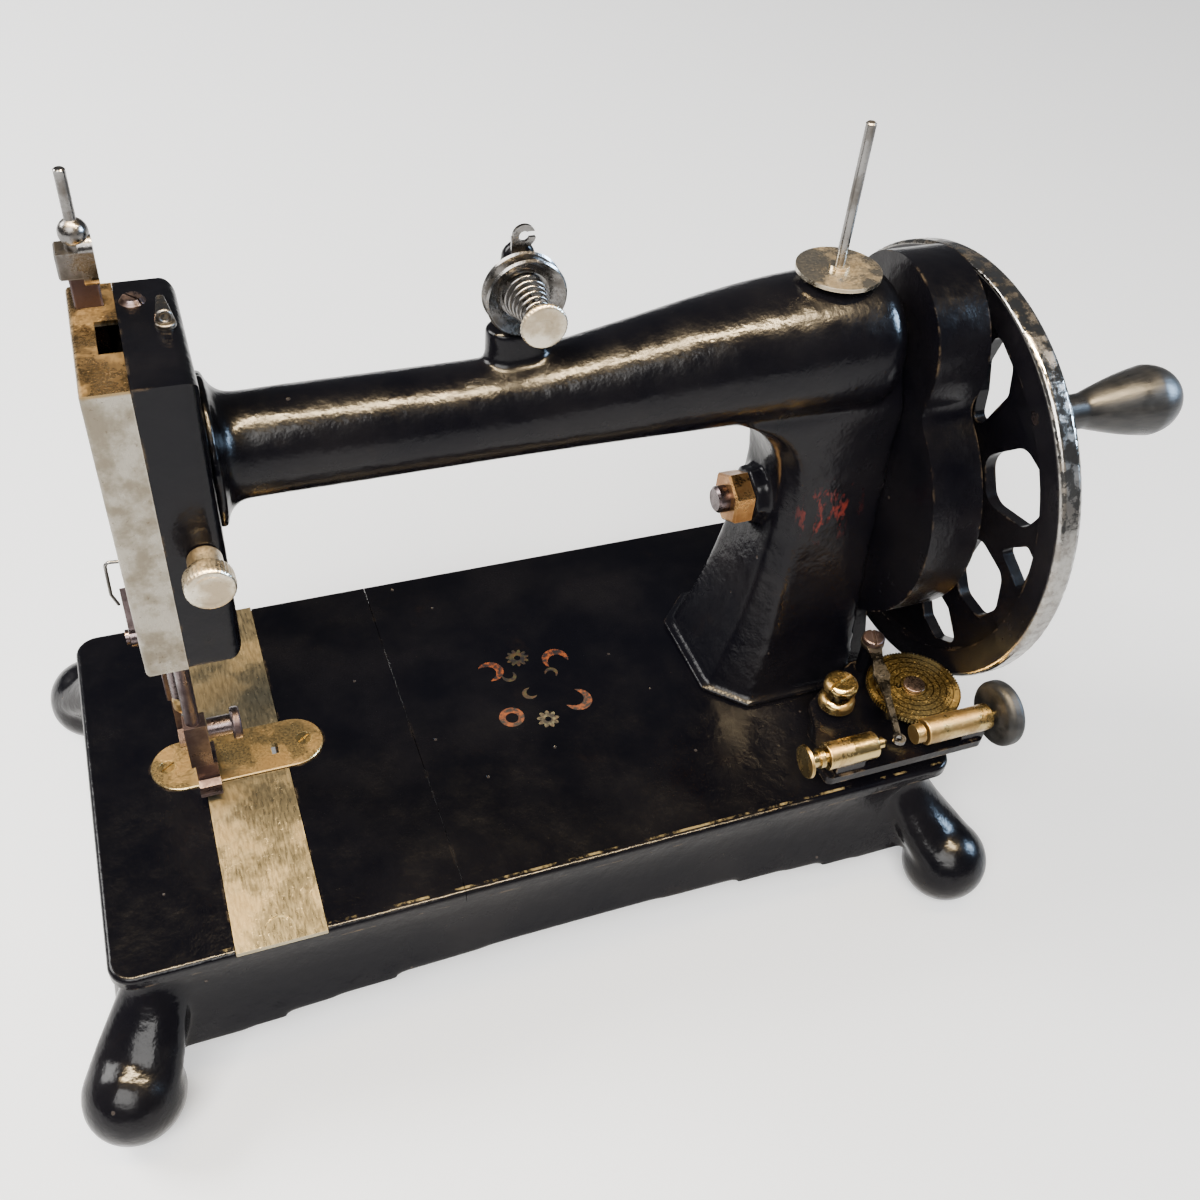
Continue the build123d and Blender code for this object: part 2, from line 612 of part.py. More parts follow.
grip_start = bed_left + 392.0
grip_end = bed_left + 449.0
with BuildPart() as crank_stud:
    with Locations(Location((wheel_in_x + 1.6, arm_y + grip_y, wheel_z + grip_z), (0, 90, 0))):
        Cylinder(3.0, grip_end - wheel_in_x - 9, align=(Align.CENTER, Align.CENTER, Align.MIN))
    with Locations(Location((grip_start - 1.6, arm_y + grip_y, wheel_z + grip_z), (0, 90, 0))):
        Cylinder(7.2, 1.2, align=(Align.CENTER, Align.CENTER, Align.MIN))
write(crank_stud.part, "crank_stud")

with BuildPart() as crank_grip:
    with BuildSketch(Plane.XZ.offset(-(arm_y + grip_y))):
        with BuildLine():
            Line((grip_start, wheel_z + grip_z), (grip_start, wheel_z + grip_z + 7.6))
            Spline((grip_start, wheel_z + grip_z + 7.6), (grip_start + 12, wheel_z + grip_z + 7.9),
                   (grip_start + 26, wheel_z + grip_z + 12.4), (grip_start + 40, wheel_z + grip_z + 14.2),
                   (grip_start + 52, wheel_z + grip_z + 10.0), (grip_end, wheel_z + grip_z),
                   tangents=[(1, 0), (0, -1)])
            Line((grip_end, wheel_z + grip_z), (grip_start, wheel_z + grip_z))
        make_face()
    revolve(axis=Axis((0, arm_y + grip_y, wheel_z + grip_z), (1, 0, 0)))
    with Locations(Location((grip_start - 1, arm_y + grip_y, wheel_z + grip_z), (0, 90, 0))):
        Cylinder(3.0 + running_gap, grip_end - grip_start - 6, align=(Align.CENTER, Align.CENTER, Align.MIN),
                 mode=Mode.SUBTRACT)
write(crank_grip.part, "crank_grip")


def gear_sketch(teeth, turn, trim):
    """A spur gear outline: trapezoid teeth on a root circle, thinned by the trim for backlash."""
    pitch_radius = gear_module * teeth / 2
    root = pitch_radius - 1.25 * gear_module
    tip = pitch_radius + 0.9 * gear_module
    half_root = gear_module * 1.16 - trim
    half_tip = gear_module * 0.36 - trim / 2
    with BuildSketch(Plane.YZ) as gear:
        Circle(root)
        with PolarLocations(0, teeth, start_angle=turn):
            Polygon((root - 0.4, -half_root), (tip, -half_tip), (tip, half_tip), (root - 0.4, half_root),
                    align=None)
    return gear.sketch


backlash = 0.12
with BuildPart() as drive_gear:
    add(extrude(gear_sketch(gear_teeth, 90, backlash), amount=gear_width, mode=Mode.PRIVATE)
        .moved(Location((gear_x, arm_y, wheel_z))))
    with Locations(Location((gear_x + 4, arm_y, wheel_z), (0, 90, 0))):
        Cylinder(44, 10, align=(Align.CENTER, Align.CENTER, Align.MIN), mode=Mode.SUBTRACT)
        Cylinder(17, bed_left + 366 - gear_x - 4, align=(Align.CENTER, Align.CENTER, Align.MIN))
    with Locations(Location((gear_x, arm_y, wheel_z), (0, 90, 0))):
        Cylinder(stud_radius + running_gap, 60, mode=Mode.SUBTRACT)
        with PolarLocations(31, 6):
            Cylinder(8, 60, mode=Mode.SUBTRACT)
write(drive_gear.part, "drive_gear")

with BuildPart() as pinion:
    # 23 teeth are an odd number, so a tooth straight up leaves a gap straight down
    add(extrude(gear_sketch(pinion_teeth, 90, backlash), amount=gear_width, mode=Mode.PRIVATE)
        .moved(Location((gear_x, arm_y, shaft_z))))
    with Locations(Location((gear_x, arm_y, shaft_z), (0, 90, 0))):
        Cylinder(shaft_radius, 60, mode=Mode.SUBTRACT)
write(pinion.part, "pinion")

# ---- arm shaft, crank disc and link --------------------------------------------
disc_x = bed_left + 57.0
disc_width = 4.5
link_x = bed_left + 51.2
link_width = 3.2
pin_y = arm_y + crank_throw
with BuildPart() as arm_shaft:
    with Locations(Location((disc_x + disc_width, arm_y, shaft_z), (0, 90, 0))):
        Cylinder(shaft_radius, gear_x + gear_width + 1 - disc_x - disc_width,
                 align=(Align.CENTER, Align.CENTER, Align.MIN))
write(arm_shaft.part, "arm_shaft")

with BuildPart() as crank_disc:
    with Locations(Location((disc_x, arm_y, shaft_z), (0, 90, 0))):
        Cylinder(19, disc_width, align=(Align.CENTER, Align.CENTER, Align.MIN))
    fillet(crank_disc.edges(), 0.8)
    with Locations(Location((disc_x, pin_y, shaft_z), (0, 90, 0))):
        Cylinder(2.5, disc_x - link_x, align=(Align.CENTER, Align.CENTER, Align.MAX))
write(crank_disc.part, "crank_disc")

with BuildPart() as needle_link:
    with BuildSketch(facing_x(link_x, arm_y, shaft_z)):
        with Locations((crank_throw, 0)):
            Circle(4.6)
        with Locations((0, -link_drop)):
            Circle(4.0)
        with BuildLine():
            Polyline((crank_throw - 3.4, 1.2), (crank_throw + 3.2, -1.4), (3.0, -link_drop - 1.0),
                     (-3.0, -link_drop + 1.2), close=True)
        make_face()
        with Locations((crank_throw, 0)):
            Circle(2.5 + running_gap, mode=Mode.SUBTRACT)
        with Locations((0, -link_drop)):
            Circle(2.0, mode=Mode.SUBTRACT)
    extrude(amount=link_width)
write(needle_link.part, "needle_link")

# ---- needle bar -------------------------------------------------------------------
needle_tip = bed_top + 1.0
needle_top = bed_top + 36.0
with BuildPart() as needle_bar:
    with Locations((needle_x, needle_y, bed_top + 44)):
        Cylinder(needle_bar_radius, 146, align=(Align.CENTER, Align.CENTER, Align.MIN))
    chamfer(needle_bar.edges().group_by(Axis.Z)[-1], 0.6)
    with Locations((needle_x, needle_y, bed_top + 34)):
        Cylinder(1.15, 24, align=(Align.CENTER, Align.CENTER, Align.MIN), mode=Mode.SUBTRACT)
write(needle_bar.part, "needle_bar")

with BuildPart() as needle_bar_block:
    with Locations((needle_x + 0.6, needle_y, shaft_z - link_drop)):
        Box(11, 9, 11)
    fillet(needle_bar_block.edges(), 1.0)
    with Locations((needle_x, needle_y, shaft_z - link_drop)):
        Cylinder(needle_bar_radius, 30, mode=Mode.SUBTRACT)
write(needle_bar_block.part, "needle_bar_block")

with BuildPart() as needle_clamp:
    with BuildSketch(Plane.XZ.offset(-needle_y)):
        with BuildLine():
            Polyline((needle_x, bed_top + 34), (needle_x + 1.8, bed_top + 34), (needle_x + 3.4, bed_top + 37),
                     (needle_x + 3.4, bed_top + 41), (needle_x + 2.6, bed_top + 42.2),
                     (needle_x + 2.6, bed_top + 44), (needle_x, bed_top + 44), close=True)
        make_face()
    revolve(axis=Axis((needle_x, needle_y, 0), (0, 0, 1)))
    with Locations((needle_x, needle_y, bed_top + 34)):
        Cylinder(1.15, 24, mode=Mode.SUBTRACT)
write(needle_clamp.part, "needle_clamp")

with BuildPart() as needle:
    with Locations((needle_x, needle_y, bed_top + 30)):
        Cylinder(1.1, 22, align=(Align.CENTER, Align.CENTER, Align.MIN))
        Cylinder(0.55, 25, align=(Align.CENTER, Align.CENTER, Align.MAX))
        with Locations((0, 0, -25)):
            Cone(0.12, 0.55, 4, align=(Align.CENTER, Align.CENTER, Align.MAX))
        with Locations((0, 0, -24)):
            Box(3, 0.45, 1.6, mode=Mode.SUBTRACT)
write(needle.part, "needle")

# ---- presser bar, its foot, spring and thumb screw -----------------------------------
with BuildPart() as presser_bar:
    with Locations((presser_x, presser_y, bed_top + 14)):
        Cylinder(presser_bar_radius, 178, align=(Align.CENTER, Align.CENTER, Align.MIN))
    with Locations((presser_x, presser_y, bed_top + 140)):
        Cylinder(4.3, 5)
write(presser_bar.part, "presser_bar")

coil_radius = 3.75
with BuildPart() as presser_spring:
    with BuildLine():
        Helix(pitch=5.0, height=42.0, radius=coil_radius, center=(presser_x, presser_y, bed_top + 143.4))
    with BuildSketch(Plane(origin=(presser_x + coil_radius, presser_y, bed_top + 143.4), z_dir=(0, 1, 0.2))):
        Circle(0.45)
    sweep()
write(presser_spring.part, "presser_spring")

foot_gap = 0.3
with BuildPart() as presser_foot:
    # clamp block on the bar, a shank, and a forked sole with turned-up toes
    with Locations((presser_x + 0.5, presser_y, bed_top + 14)):
        Box(9, 8, 24, align=(Align.CENTER, Align.CENTER, Align.MIN))
    with Locations((presser_x, presser_y, bed_top + 14)):
        Cylinder(presser_bar_radius, 60, align=(Align.CENTER, Align.CENTER, Align.MIN), mode=Mode.SUBTRACT)
    with BuildSketch(Plane.YZ.offset(presser_x - 2.5)):
        with BuildLine():
            Polyline((presser_y + 3.5, bed_top + 14), (presser_y + 3.5, bed_top + 5), (arm_y + 8, bed_top + 2.4),
                     (arm_y + 8, bed_top + plate_proud + foot_gap),
                     (presser_y - 6, bed_top + plate_proud + foot_gap), (presser_y - 12.6, bed_top + 4.2),
                     (presser_y - 12, bed_top + 5.4), (presser_y - 6.6, bed_top + plate_proud + foot_gap + 2.0),
                     (presser_y - 3.5, bed_top + 4.5), (presser_y - 3.5, bed_top + 14), close=True)
        make_face()
    extrude(amount=9.0)
    with Locations((needle_x, needle_y, bed_top)):
        Cylinder(2.0, 30, mode=Mode.SUBTRACT)
    with Locations((needle_x - 3, needle_y + 2.5, bed_top)):
        Box(6, 9, 12, mode=Mode.SUBTRACT)
write(presser_foot.part, "presser_foot")

thumb_z = bed_top + 32
with BuildPart() as presser_thumb_screw:
    with Locations(Location((presser_x + 5.3, presser_y, thumb_z), (0, 90, 0))):
        Cylinder(4.3, 9.5, align=(Align.CENTER, Align.CENTER, Align.MIN))
    with Locations(Location((presser_x + 14.8, presser_y, thumb_z), (0, 90, 0))):
        Cylinder(7.0, 4.0, align=(Align.CENTER, Align.CENTER, Align.MIN))
    fillet(presser_thumb_screw.edges().filter_by(GeomType.CIRCLE).filter_by(lambda e: e.radius > 6.5), 1.2)
write(presser_thumb_screw.part, "presser_thumb_screw")

# ---- feed bar behind the needle, with its clamp, ball nut and pin ------------------------
feed_low = bed_top + 22
feed_high = bed_top + 226
lifter_z = bed_top + 60
lifter_x = feed_x - feed_width_x / 2
with BuildPart() as feed_bar:
    with Locations((feed_x, feed_y, feed_low)):
        Box(feed_width_x, feed_width_y, feed_high - feed_low, align=(Align.CENTER, Align.CENTER, Align.MIN))
    chamfer(feed_bar.edges().filter_by(Axis.Z), 0.5)
    # stud that the lifter turns on
    with Locations(Location((lifter_x, feed_y, lifter_z), (0, -90, 0))):
        Cylinder(1.8, 8.6, align=(Align.CENTER, Align.CENTER, Align.MIN))
        with Locations((0, 0, 8.6)):
            Cylinder(3.2, 1.4, align=(Align.CENTER, Align.CENTER, Align.MIN))
write(feed_bar.part, "feed_bar")

with BuildPart() as feed_bar_cap:
    # clamp block on the left and an upright tab on the right
    with Locations((feed_x - 3.4, feed_y, feed_high - 3)):
        Box(7.4, 9.6, 9.0, align=(Align.CENTER, Align.CENTER, Align.MIN))
    with BuildSketch(facing_x(feed_x + 0.3, feed_y - 1, feed_high + 1.5)):
        SlotCenterToCenter(9, 8.0, rotation=90)
    extrude(amount=4.6)
    chamfer(feed_bar_cap.edges().group_by(Axis.X)[0], 0.6)
    # ball nut and the thin pin above it
    with Locations((feed_x, feed_y, feed_high)):
        Cylinder(3.6, 8.4, align=(Align.CENTER, Align.CENTER, Align.MIN))
    with Locations((feed_x, feed_y, feed_high + 11)):
        Sphere(4.8)
    with Locations((feed_x, feed_y, feed_high + 12)):
        Cylinder(1.9, 20, align=(Align.CENTER, Align.CENTER, Align.MIN))
    chamfer(feed_bar_cap.edges().group_by(Axis.Z)[-1], 0.4)
    with Locations((feed_x, feed_y, feed_high)):
        Box(feed_width_x, feed_width_y, 40, align=(Align.CENTER, Align.CENTER, Align.MAX), mode=Mode.SUBTRACT)
write(feed_bar_cap.part, "feed_bar_cap")

with BuildPart() as feed_foot:
    with BuildSketch(Plane.YZ.offset(feed_x - 3)):
        with BuildLine():
            Polyline((feed_y + 3, feed_low), (feed_y - 3, feed_low), (feed_y - 5, bed_top + 4.5),
                     (arm_y + 9.5, bed_top + 3.2), (arm_y + 9.5, bed_top + plate_proud + foot_gap),
                     (feed_y + 1, bed_top + plate_proud + foot_gap), (feed_y + 3, bed_top + 4), close=True)
        make_face()
    extrude(amount=6)
write(feed_foot.part, "feed_foot")

with BuildPart() as presser_lifter:
    with BuildSketch(facing_x(lifter_x - 8.2, feed_y, lifter_z)):
        with BuildLine():
            Polyline((-2.8, -2), (2.8, -2), (3.4, 6), (4.6, 19), (2.4, 24.5), (0.4, 19), (-2.6, 6), close=True)
        make_face()
        Circle(4.6)
        Circle(1.8 + running_gap, mode=Mode.SUBTRACT)
    extrude(amount=2.6)
write(presser_lifter.part, "presser_lifter")

# ---- spool pin and tension ------------------------------------------------------------
with BuildPart() as spool_pin:
    with Locations((bed_left + 314, arm_y, bed_top + 186)):
        Cylinder(2.0, 76, align=(Align.CENTER, Align.CENTER, Align.MIN))
    chamfer(spool_pin.edges().group_by(Axis.Z)[-1], 0.5)
write(spool_pin.part, "spool_pin")

with BuildPart() as spool_disc:
    with Locations((bed_left + 314, arm_y, bed_top + 203.2)):
        Cylinder(17, 1.6, align=(Align.CENTER, Align.CENTER, Align.MIN))
        Cylinder(4.0, 3.2, align=(Align.CENTER, Align.CENTER, Align.MIN))
    with Locations((bed_left + 314, arm_y, bed_top + 190)):
        Cylinder(2.0, 60, mode=Mode.SUBTRACT)
write(spool_disc.part, "spool_disc")

boss_face_y = arm_y + 2.5
nut_face_y = arm_y - 26.0
with BuildPart() as tension_stud:
    with Locations(facing_front(tension_x, boss_face_y + 6, tension_z).location):
        Cylinder(2.2, boss_face_y + 6 - nut_face_y - 0.8, align=(Align.CENTER, Align.CENTER, Align.MIN))
    with Locations((tension_x, nut_face_y, tension_z)):
        Box(0.9, 8, 10, mode=Mode.SUBTRACT)
write(tension_stud.part, "tension_stud")


def dished_disc(y_rim, y_flat):
    """One tension disc: a flat middle ring that turns up to a rounded rim."""
    with BuildPart() as disc:
        with BuildSketch(Plane.YZ.offset(tension_x)):
            with BuildLine():
                Polyline((y_flat, tension_z + 2.2), (y_flat, tension_z + 9.0), (y_rim, tension_z + 14.2),
                         (y_rim - 0.6, tension_z + 14.9), (y_rim - 1.2, tension_z + 14.2),
                         (y_flat - 1.0, tension_z + 9.0), (y_flat - 1.0, tension_z + 2.2), close=True)
            make_face()
        revolve(axis=Axis((tension_x, 0, tension_z), (0, 1, 0)))
    return disc.part


rear_disc = dished_disc(boss_face_y - 1.6, boss_face_y - 3.4)
front_disc = dished_disc(boss_face_y - 7.6, boss_face_y - 5.0)
with BuildPart() as tension_discs:
    add(rear_disc)
    add(front_disc)
write(tension_discs.part, "tension_discs")

spring_front = nut_face_y + 5.6
spring_back = boss_face_y - 6.4
with BuildPart() as tension_spring:
    with BuildLine():
        Helix(pitch=2.6, height=spring_back - spring_front - 1.2, radius=4.2, cone_angle=14,
              center=(tension_x, spring_front + 0.7, tension_z), direction=(0, 1, 0))
    with BuildSketch(Plane(origin=tension_spring.pending_edges[0] @ 0,
                           z_dir=tension_spring.pending_edges[0] % 0)):
        Circle(0.5)
    sweep()
write(tension_spring.part, "tension_spring")

with BuildPart() as tension_nut:
    with BuildSketch(Plane.YZ.offset(tension_x)):
        with BuildLine():
            Polyline((nut_face_y, tension_z + 2.2 + running_gap), (nut_face_y, tension_z + 7.6),
                     (nut_face_y + 0.8, tension_z + 8.5), (nut_face_y + 1.8, tension_z + 8.5),
                     (nut_face_y + 2.4, tension_z + 7.8), (nut_face_y + 3.2, tension_z + 4.6),
                     (nut_face_y + 5.2, tension_z + 4.2), (nut_face_y + 5.2, tension_z + 2.2 + running_gap),
                     close=True)
        make_face()
    revolve(axis=Axis((tension_x, 0, tension_z), (0, 1, 0)))
write(tension_nut.part, "tension_nut")

with BuildPart() as tension_hook:
    with BuildSketch(facing_front(tension_x, boss_face_y, tension_z)):
        Circle(6.5)
        with Locations((-1.5, 10)):
            Rectangle(5.0, 20)
        with Locations((0.5, 20)):
            Circle(4.2)
            Circle(1.9, mode=Mode.SUBTRACT)
        with Locations((4.2, 20.6)):
            Rectangle(5, 2.2, mode=Mode.SUBTRACT)
        Circle(2.2, mode=Mode.SUBTRACT)
    extrude(amount=1.4)
write(tension_hook.part, "tension_hook")

# ---- bobbin winder ------------------------------------------------------------------------
bracket_z = bed_top + 13.0
bracket_thick = 4.0
with BuildPart() as winder_post:
    with Locations((winder_x, winder_y, bed_top)):
        Cylinder(9.0, 12.4, align=(Align.CENTER, Align.CENTER, Align.MIN))
    fillet(winder_post.edges().group_by(Axis.Z)[-1], 1.5)
    with Locations((winder_x, winder_y, bed_top + 12)):
        Cylinder(3.5, 20, align=(Align.CENTER, Align.CENTER, Align.MIN))
write(winder_post.part, "winder_post")

# a brass collar and a big slotted screw head, both on the post
with BuildPart() as post_fittings:
    with Locations((winder_x, winder_y, bed_top + 21.4)):
        Cylinder(8.2, 5.4, align=(Align.CENTER, Align.CENTER, Align.MIN))
    fillet(post_fittings.edges().group_by(Axis.Z)[-1], 2.8)
    with Locations((winder_x, winder_y, bed_top + 21.4)):
        Cylinder(3.5, 30, mode=Mode.SUBTRACT)
    with Locations((winder_x, winder_y, bed_top + 32)):
        Cylinder(7.6, 4.0, align=(Align.CENTER, Align.CENTER, Align.MIN))
    fillet(post_fittings.edges().group_by(Axis.Z)[-1], 2.4)
    with Locations(Location((winder_x, winder_y, bed_top + 36), (0, 0, 20))):
        Box(20, 1.6, 3.0, mode=Mode.SUBTRACT)
write(post_fittings.part, "winder_post_screw")

left_barrel = (bed_left + 297.0, bed_left + 321.0)
right_barrel = (bed_left + 346.0, bed_left + 379.0)
with BuildPart() as winder_bracket:
    with BuildSketch(level(0, 0, bracket_z)) as bracket_outline:
        with BuildLine():
            Polyline((bed_left + 298, spindle_y - 5), (bed_left + 378, spindle_y - 5),
                     (bed_left + 378, spindle_y + 6), (cam_x + 9, cam_y), (lever_x + 5, lever_y + 5),
                     (lever_x - 5, lever_y + 5), (winder_x - 9, winder_y + 7), (winder_x - 12, winder_y - 4),
                     (bed_left + 298, spindle_y + 5), close=True)
        make_face()
        fillet(bracket_outline.vertices(), 3.0)
        with Locations((winder_x, winder_y)):
            Circle(3.5 + running_gap, mode=Mode.SUBTRACT)
    extrude(amount=bracket_thick)
    with Locations((bed_left + 309, spindle_y, bracket_z)):
        Box(14, 8, spindle_z - bracket_z, align=(Align.CENTER, Align.CENTER, Align.MIN))
    with Locations((bed_left + 372, spindle_y, bracket_z)):
        Box(12, 7, spindle_z - bracket_z, align=(Align.CENTER, Align.CENTER, Align.MIN))
    with Locations((cam_x, cam_y, bracket_z)):
        Cylinder(6.5, spindle_z - bracket_z - 1.3, align=(Align.CENTER, Align.CENTER, Align.MIN))
        Cylinder(1.5, 30, mode=Mode.SUBTRACT)
    with Locations((lever_x, lever_y, bracket_z)):
        Cylinder(4.6, 20, align=(Align.CENTER, Align.CENTER, Align.MIN))
    with Locations(Location((bed_left + 340, spindle_y, spindle_z), (0, 90, 0))):
        Cylinder(barrel_radius, 200, mode=Mode.SUBTRACT)
write(winder_bracket.part, "winder_bracket")

# two brass barrels: the right one bears the spindle, the left one guides the sprung centre
with BuildPart() as winder_barrels:
    with Locations(Location((right_barrel[0], spindle_y, spindle_z), (0, 90, 0))):
        Cylinder(barrel_radius, right_barrel[1] - right_barrel[0],
                 align=(Align.CENTER, Align.CENTER, Align.MIN))
        Cylinder(3.6, 21, align=(Align.CENTER, Align.CENTER, Align.MIN), mode=Mode.SUBTRACT)
        Cylinder(spindle_radius + running_gap, 100, mode=Mode.SUBTRACT)
    # window at the back, where the cam disc reaches in to the worm
    with Locations((cam_x, spindle_y + 6, spindle_z)):
        Box(21, 8, 4.2, mode=Mode.SUBTRACT)
    with Locations(Location((left_barrel[0], spindle_y, spindle_z), (0, 90, 0))):
        Cylinder(barrel_radius, left_barrel[1] - left_barrel[0],
                 align=(Align.CENTER, Align.CENTER, Align.MIN))
        Cylinder(2.5 + running_gap, left_barrel[1] - left_barrel[0],
                 align=(Align.CENTER, Align.CENTER, Align.MIN), mode=Mode.SUBTRACT)
    fillet(winder_barrels.edges().filter_by(GeomType.CIRCLE).filter_by(lambda e: e.radius > 5.5), 0.6)
write(winder_barrels.part, "winder_barrels")

# the sprung centre: a flared pull and a rod through the barrel, with a point that holds the bobbin
with BuildPart() as spring_centre:
    with BuildSketch(Plane.XZ.offset(-spindle_y)):
        with BuildLine():
            left_end = bed_left + 287.0
            Polyline((left_end, spindle_z), (left_end, spindle_z + 7.2), (left_end + 1.2, spindle_z + 7.4),
                     (left_end + 3.0, spindle_z + 3.6), (left_end + 6.4, spindle_z + 3.4),
                     (left_end + 6.4, spindle_z + 4.4), (left_end + 8.4, spindle_z + 4.4),
                     (left_end + 8.4, spindle_z + 2.5), (left_barrel[1] + 4.0, spindle_z + 2.5),
                     (left_barrel[1] + 6.0, spindle_z + 0.8), (left_barrel[1] + 6.0, spindle_z), close=True)
        make_face()
    revolve(axis=Axis((0, spindle_y, spindle_z), (1, 0, 0)))
write(spring_centre.part, "spring_centre")

friction_left = bed_left + 381.5
with BuildPart() as winder_spindle:
    with Locations(Location((bed_left + 341, spindle_y, spindle_z), (0, 90, 0))):
        Cylinder(spindle_radius, friction_left + 11 - bed_left - 341,
                 align=(Align.CENTER, Align.CENTER, Align.MIN))
        Cylinder(4.4, 4, align=(Align.CENTER, Align.CENTER, Align.MIN))
    # the worm, drawn as close rings
    for ring in range(9):
        with Locations(Location((cam_x - 7.2 + 1.6 * ring, spindle_y, spindle_z), (0, 90, 0))):
            Cylinder(worm_radius, 0.8)
write(winder_spindle.part, "winder_spindle")

friction_radius = 15.0
with BuildPart() as friction_wheel:
    with Locations(Location((friction_left, spindle_y, spindle_z), (0, 90, 0))):
        Cylinder(friction_radius, 8.5, align=(Align.CENTER, Align.CENTER, Align.MIN))
    fillet(friction_wheel.edges(), 3.2)
    with Locations(Location((friction_left, spindle_y, spindle_z), (0, 90, 0))):
        Cylinder(spindle_radius, 60, mode=Mode.SUBTRACT)
write(friction_wheel.part, "friction_wheel")

cam_teeth = 90
with BuildPart() as cam_disc:
    # fine notches round the rim, one for each turn of the worm
    with BuildSketch(level(cam_x, cam_y, spindle_z - 1.0)):
        Circle(cam_radius)
        with PolarLocations(cam_radius, cam_teeth):
            Rectangle(1.2, 0.7, mode=Mode.SUBTRACT)
    extrude(amount=2.2)
    # spiral groove from near the rim to near the middle
    with BuildSketch(level(cam_x, cam_y, spindle_z + 1.2)):
        SlotArc(CenterArc((0, 1.8), 14.4, -70, 200, mode=Mode.PRIVATE), 1.8)
        SlotArc(CenterArc((0, -0.2), 11.4, 150, 170, mode=Mode.PRIVATE), 1.8)
    extrude(amount=-1.0, mode=Mode.SUBTRACT)
    with Locations((cam_x - 7, cam_y + 2, spindle_z)):
        Cylinder(1.4, 10, mode=Mode.SUBTRACT)
    with Locations((cam_x, cam_y, spindle_z)):
        Cylinder(2.4, 20, mode=Mode.SUBTRACT)
write(cam_disc.part, "cam_disc")

lever_z = bracket_z + 20.3
with BuildPart() as winder_screws:
    with Locations((cam_x, cam_y, bracket_z)):
        Cylinder(1.5, 12, align=(Align.CENTER, Align.CENTER, Align.MIN))
    with Locations((cam_x, cam_y, spindle_z - 1.3)):
        Cylinder(2.4 - running_gap, 2.8, align=(Align.CENTER, Align.CENTER, Align.MIN))
    with Locations((cam_x, cam_y, spindle_z + 1.5)):
        Cylinder(5.0, 1.2, align=(Align.CENTER, Align.CENTER, Align.MIN))
    fillet(winder_screws.edges().group_by(Axis.Z)[-1], 0.5)
    with Locations((cam_x, cam_y, bracket_z)):
        Cylinder(3, 20, align=(Align.CENTER, Align.CENTER, Align.MAX), mode=Mode.SUBTRACT)
    with Locations((lever_x, lever_y, lever_z - 0.3)):
        Cylinder(2.0, 2.2, align=(Align.CENTER, Align.CENTER, Align.MIN))
    with Locations((lever_x, lever_y, lever_z + 1.9)):
        Cylinder(5.2, 2.6, align=(Align.CENTER, Align.CENTER, Align.MIN))
    fillet(winder_screws.edges().group_by(Axis.Z)[-1], 1.0)
    with Locations(Location((lever_x, lever_y, lever_z + 4.5), (0, 0, 70))):
        Box(14, 1.2, 2.2, mode=Mode.SUBTRACT)
write(winder_screws.part, "winder_screws")

eyelet_x = bed_left + 328.5
eyelet_y = bed_front - 2.5
lever_length = math.hypot(eyelet_x - lever_x, eyelet_y - lever_y)
lever_turn = math.degrees(math.atan2(eyelet_y - lever_y, eyelet_x - lever_x))
lever_plane = level(lever_x, lever_y, lever_z).rotated((0, 0, lever_turn))
with BuildPart() as guide_lever:
    with BuildSketch(lever_plane):
        Circle(5.4)
        with Locations((21, 0)):
            Circle(3.8)
        with BuildLine():
            Polyline((3.5, 3.6), (12, 2.4), (21, 3.4), (34, 1.5), (lever_length - 2, 1.1),
                     (lever_length - 2, -1.1), (34, -1.5), (21, -3.4), (12, -2.4), (3.5, -3.6), close=True)
        make_face()
        with Locations((lever_length, 0)):
            Circle(2.8)
            Circle(1.4, mode=Mode.SUBTRACT)
        Circle(2.0 + running_gap, mode=Mode.SUBTRACT)
    extrude(amount=1.6)
    # follower pin, short of the cam groove's floor
    with Locations(lever_plane.offset(1.6).location):
        with Locations((21, 0, 0)):
            Cylinder(1.6, 0.9, align=(Align.CENTER, Align.CENTER, Align.MIN))
            Cylinder(0.7, lever_z + 1.6 - spindle_z - 1.5, align=(Align.CENTER, Align.CENTER, Align.MAX))
write(guide_lever.part, "guide_lever")

# ---- under the bed: rock shaft, shuttle lever, shuttle and its race ---------------------
lever_low = bed_top - 30.0
lever_high = bed_top - 24.5
shuttle_x = bed_left + 51.0
with BuildPart() as rock_shaft:
    with Locations((rock_x, arm_y, lever_low - 2)):
        Cylinder(shaft_radius, bed_top + 60 - lever_low + 2, align=(Align.CENTER, Align.CENTER, Align.MIN))
write(rock_shaft.part, "rock_shaft")

with BuildPart() as shuttle_lever:
    with BuildSketch(level(rock_x, arm_y, lever_low)):
        Circle(12)
        with BuildLine():
            Polyline((0, 10), (shuttle_x + 8 - rock_x, 7), (shuttle_x + 8 - rock_x, -7), (0, -10), close=True)
        make_face()
        with Locations((shuttle_x + 1 - rock_x, 0)):
            RectangleRounded(16, 50, 3)
        Circle(shaft_radius, mode=Mode.SUBTRACT)
    extrude(amount=lever_high - lever_low)
    # two prongs that push the shuttle
    with Locations((shuttle_x, arm_y - 23, lever_high), (shuttle_x, arm_y + 23, lever_high)):
        Box(9, 3, 9, align=(Align.CENTER, Align.CENTER, Align.MIN))
write(shuttle_lever.part, "shuttle_lever")

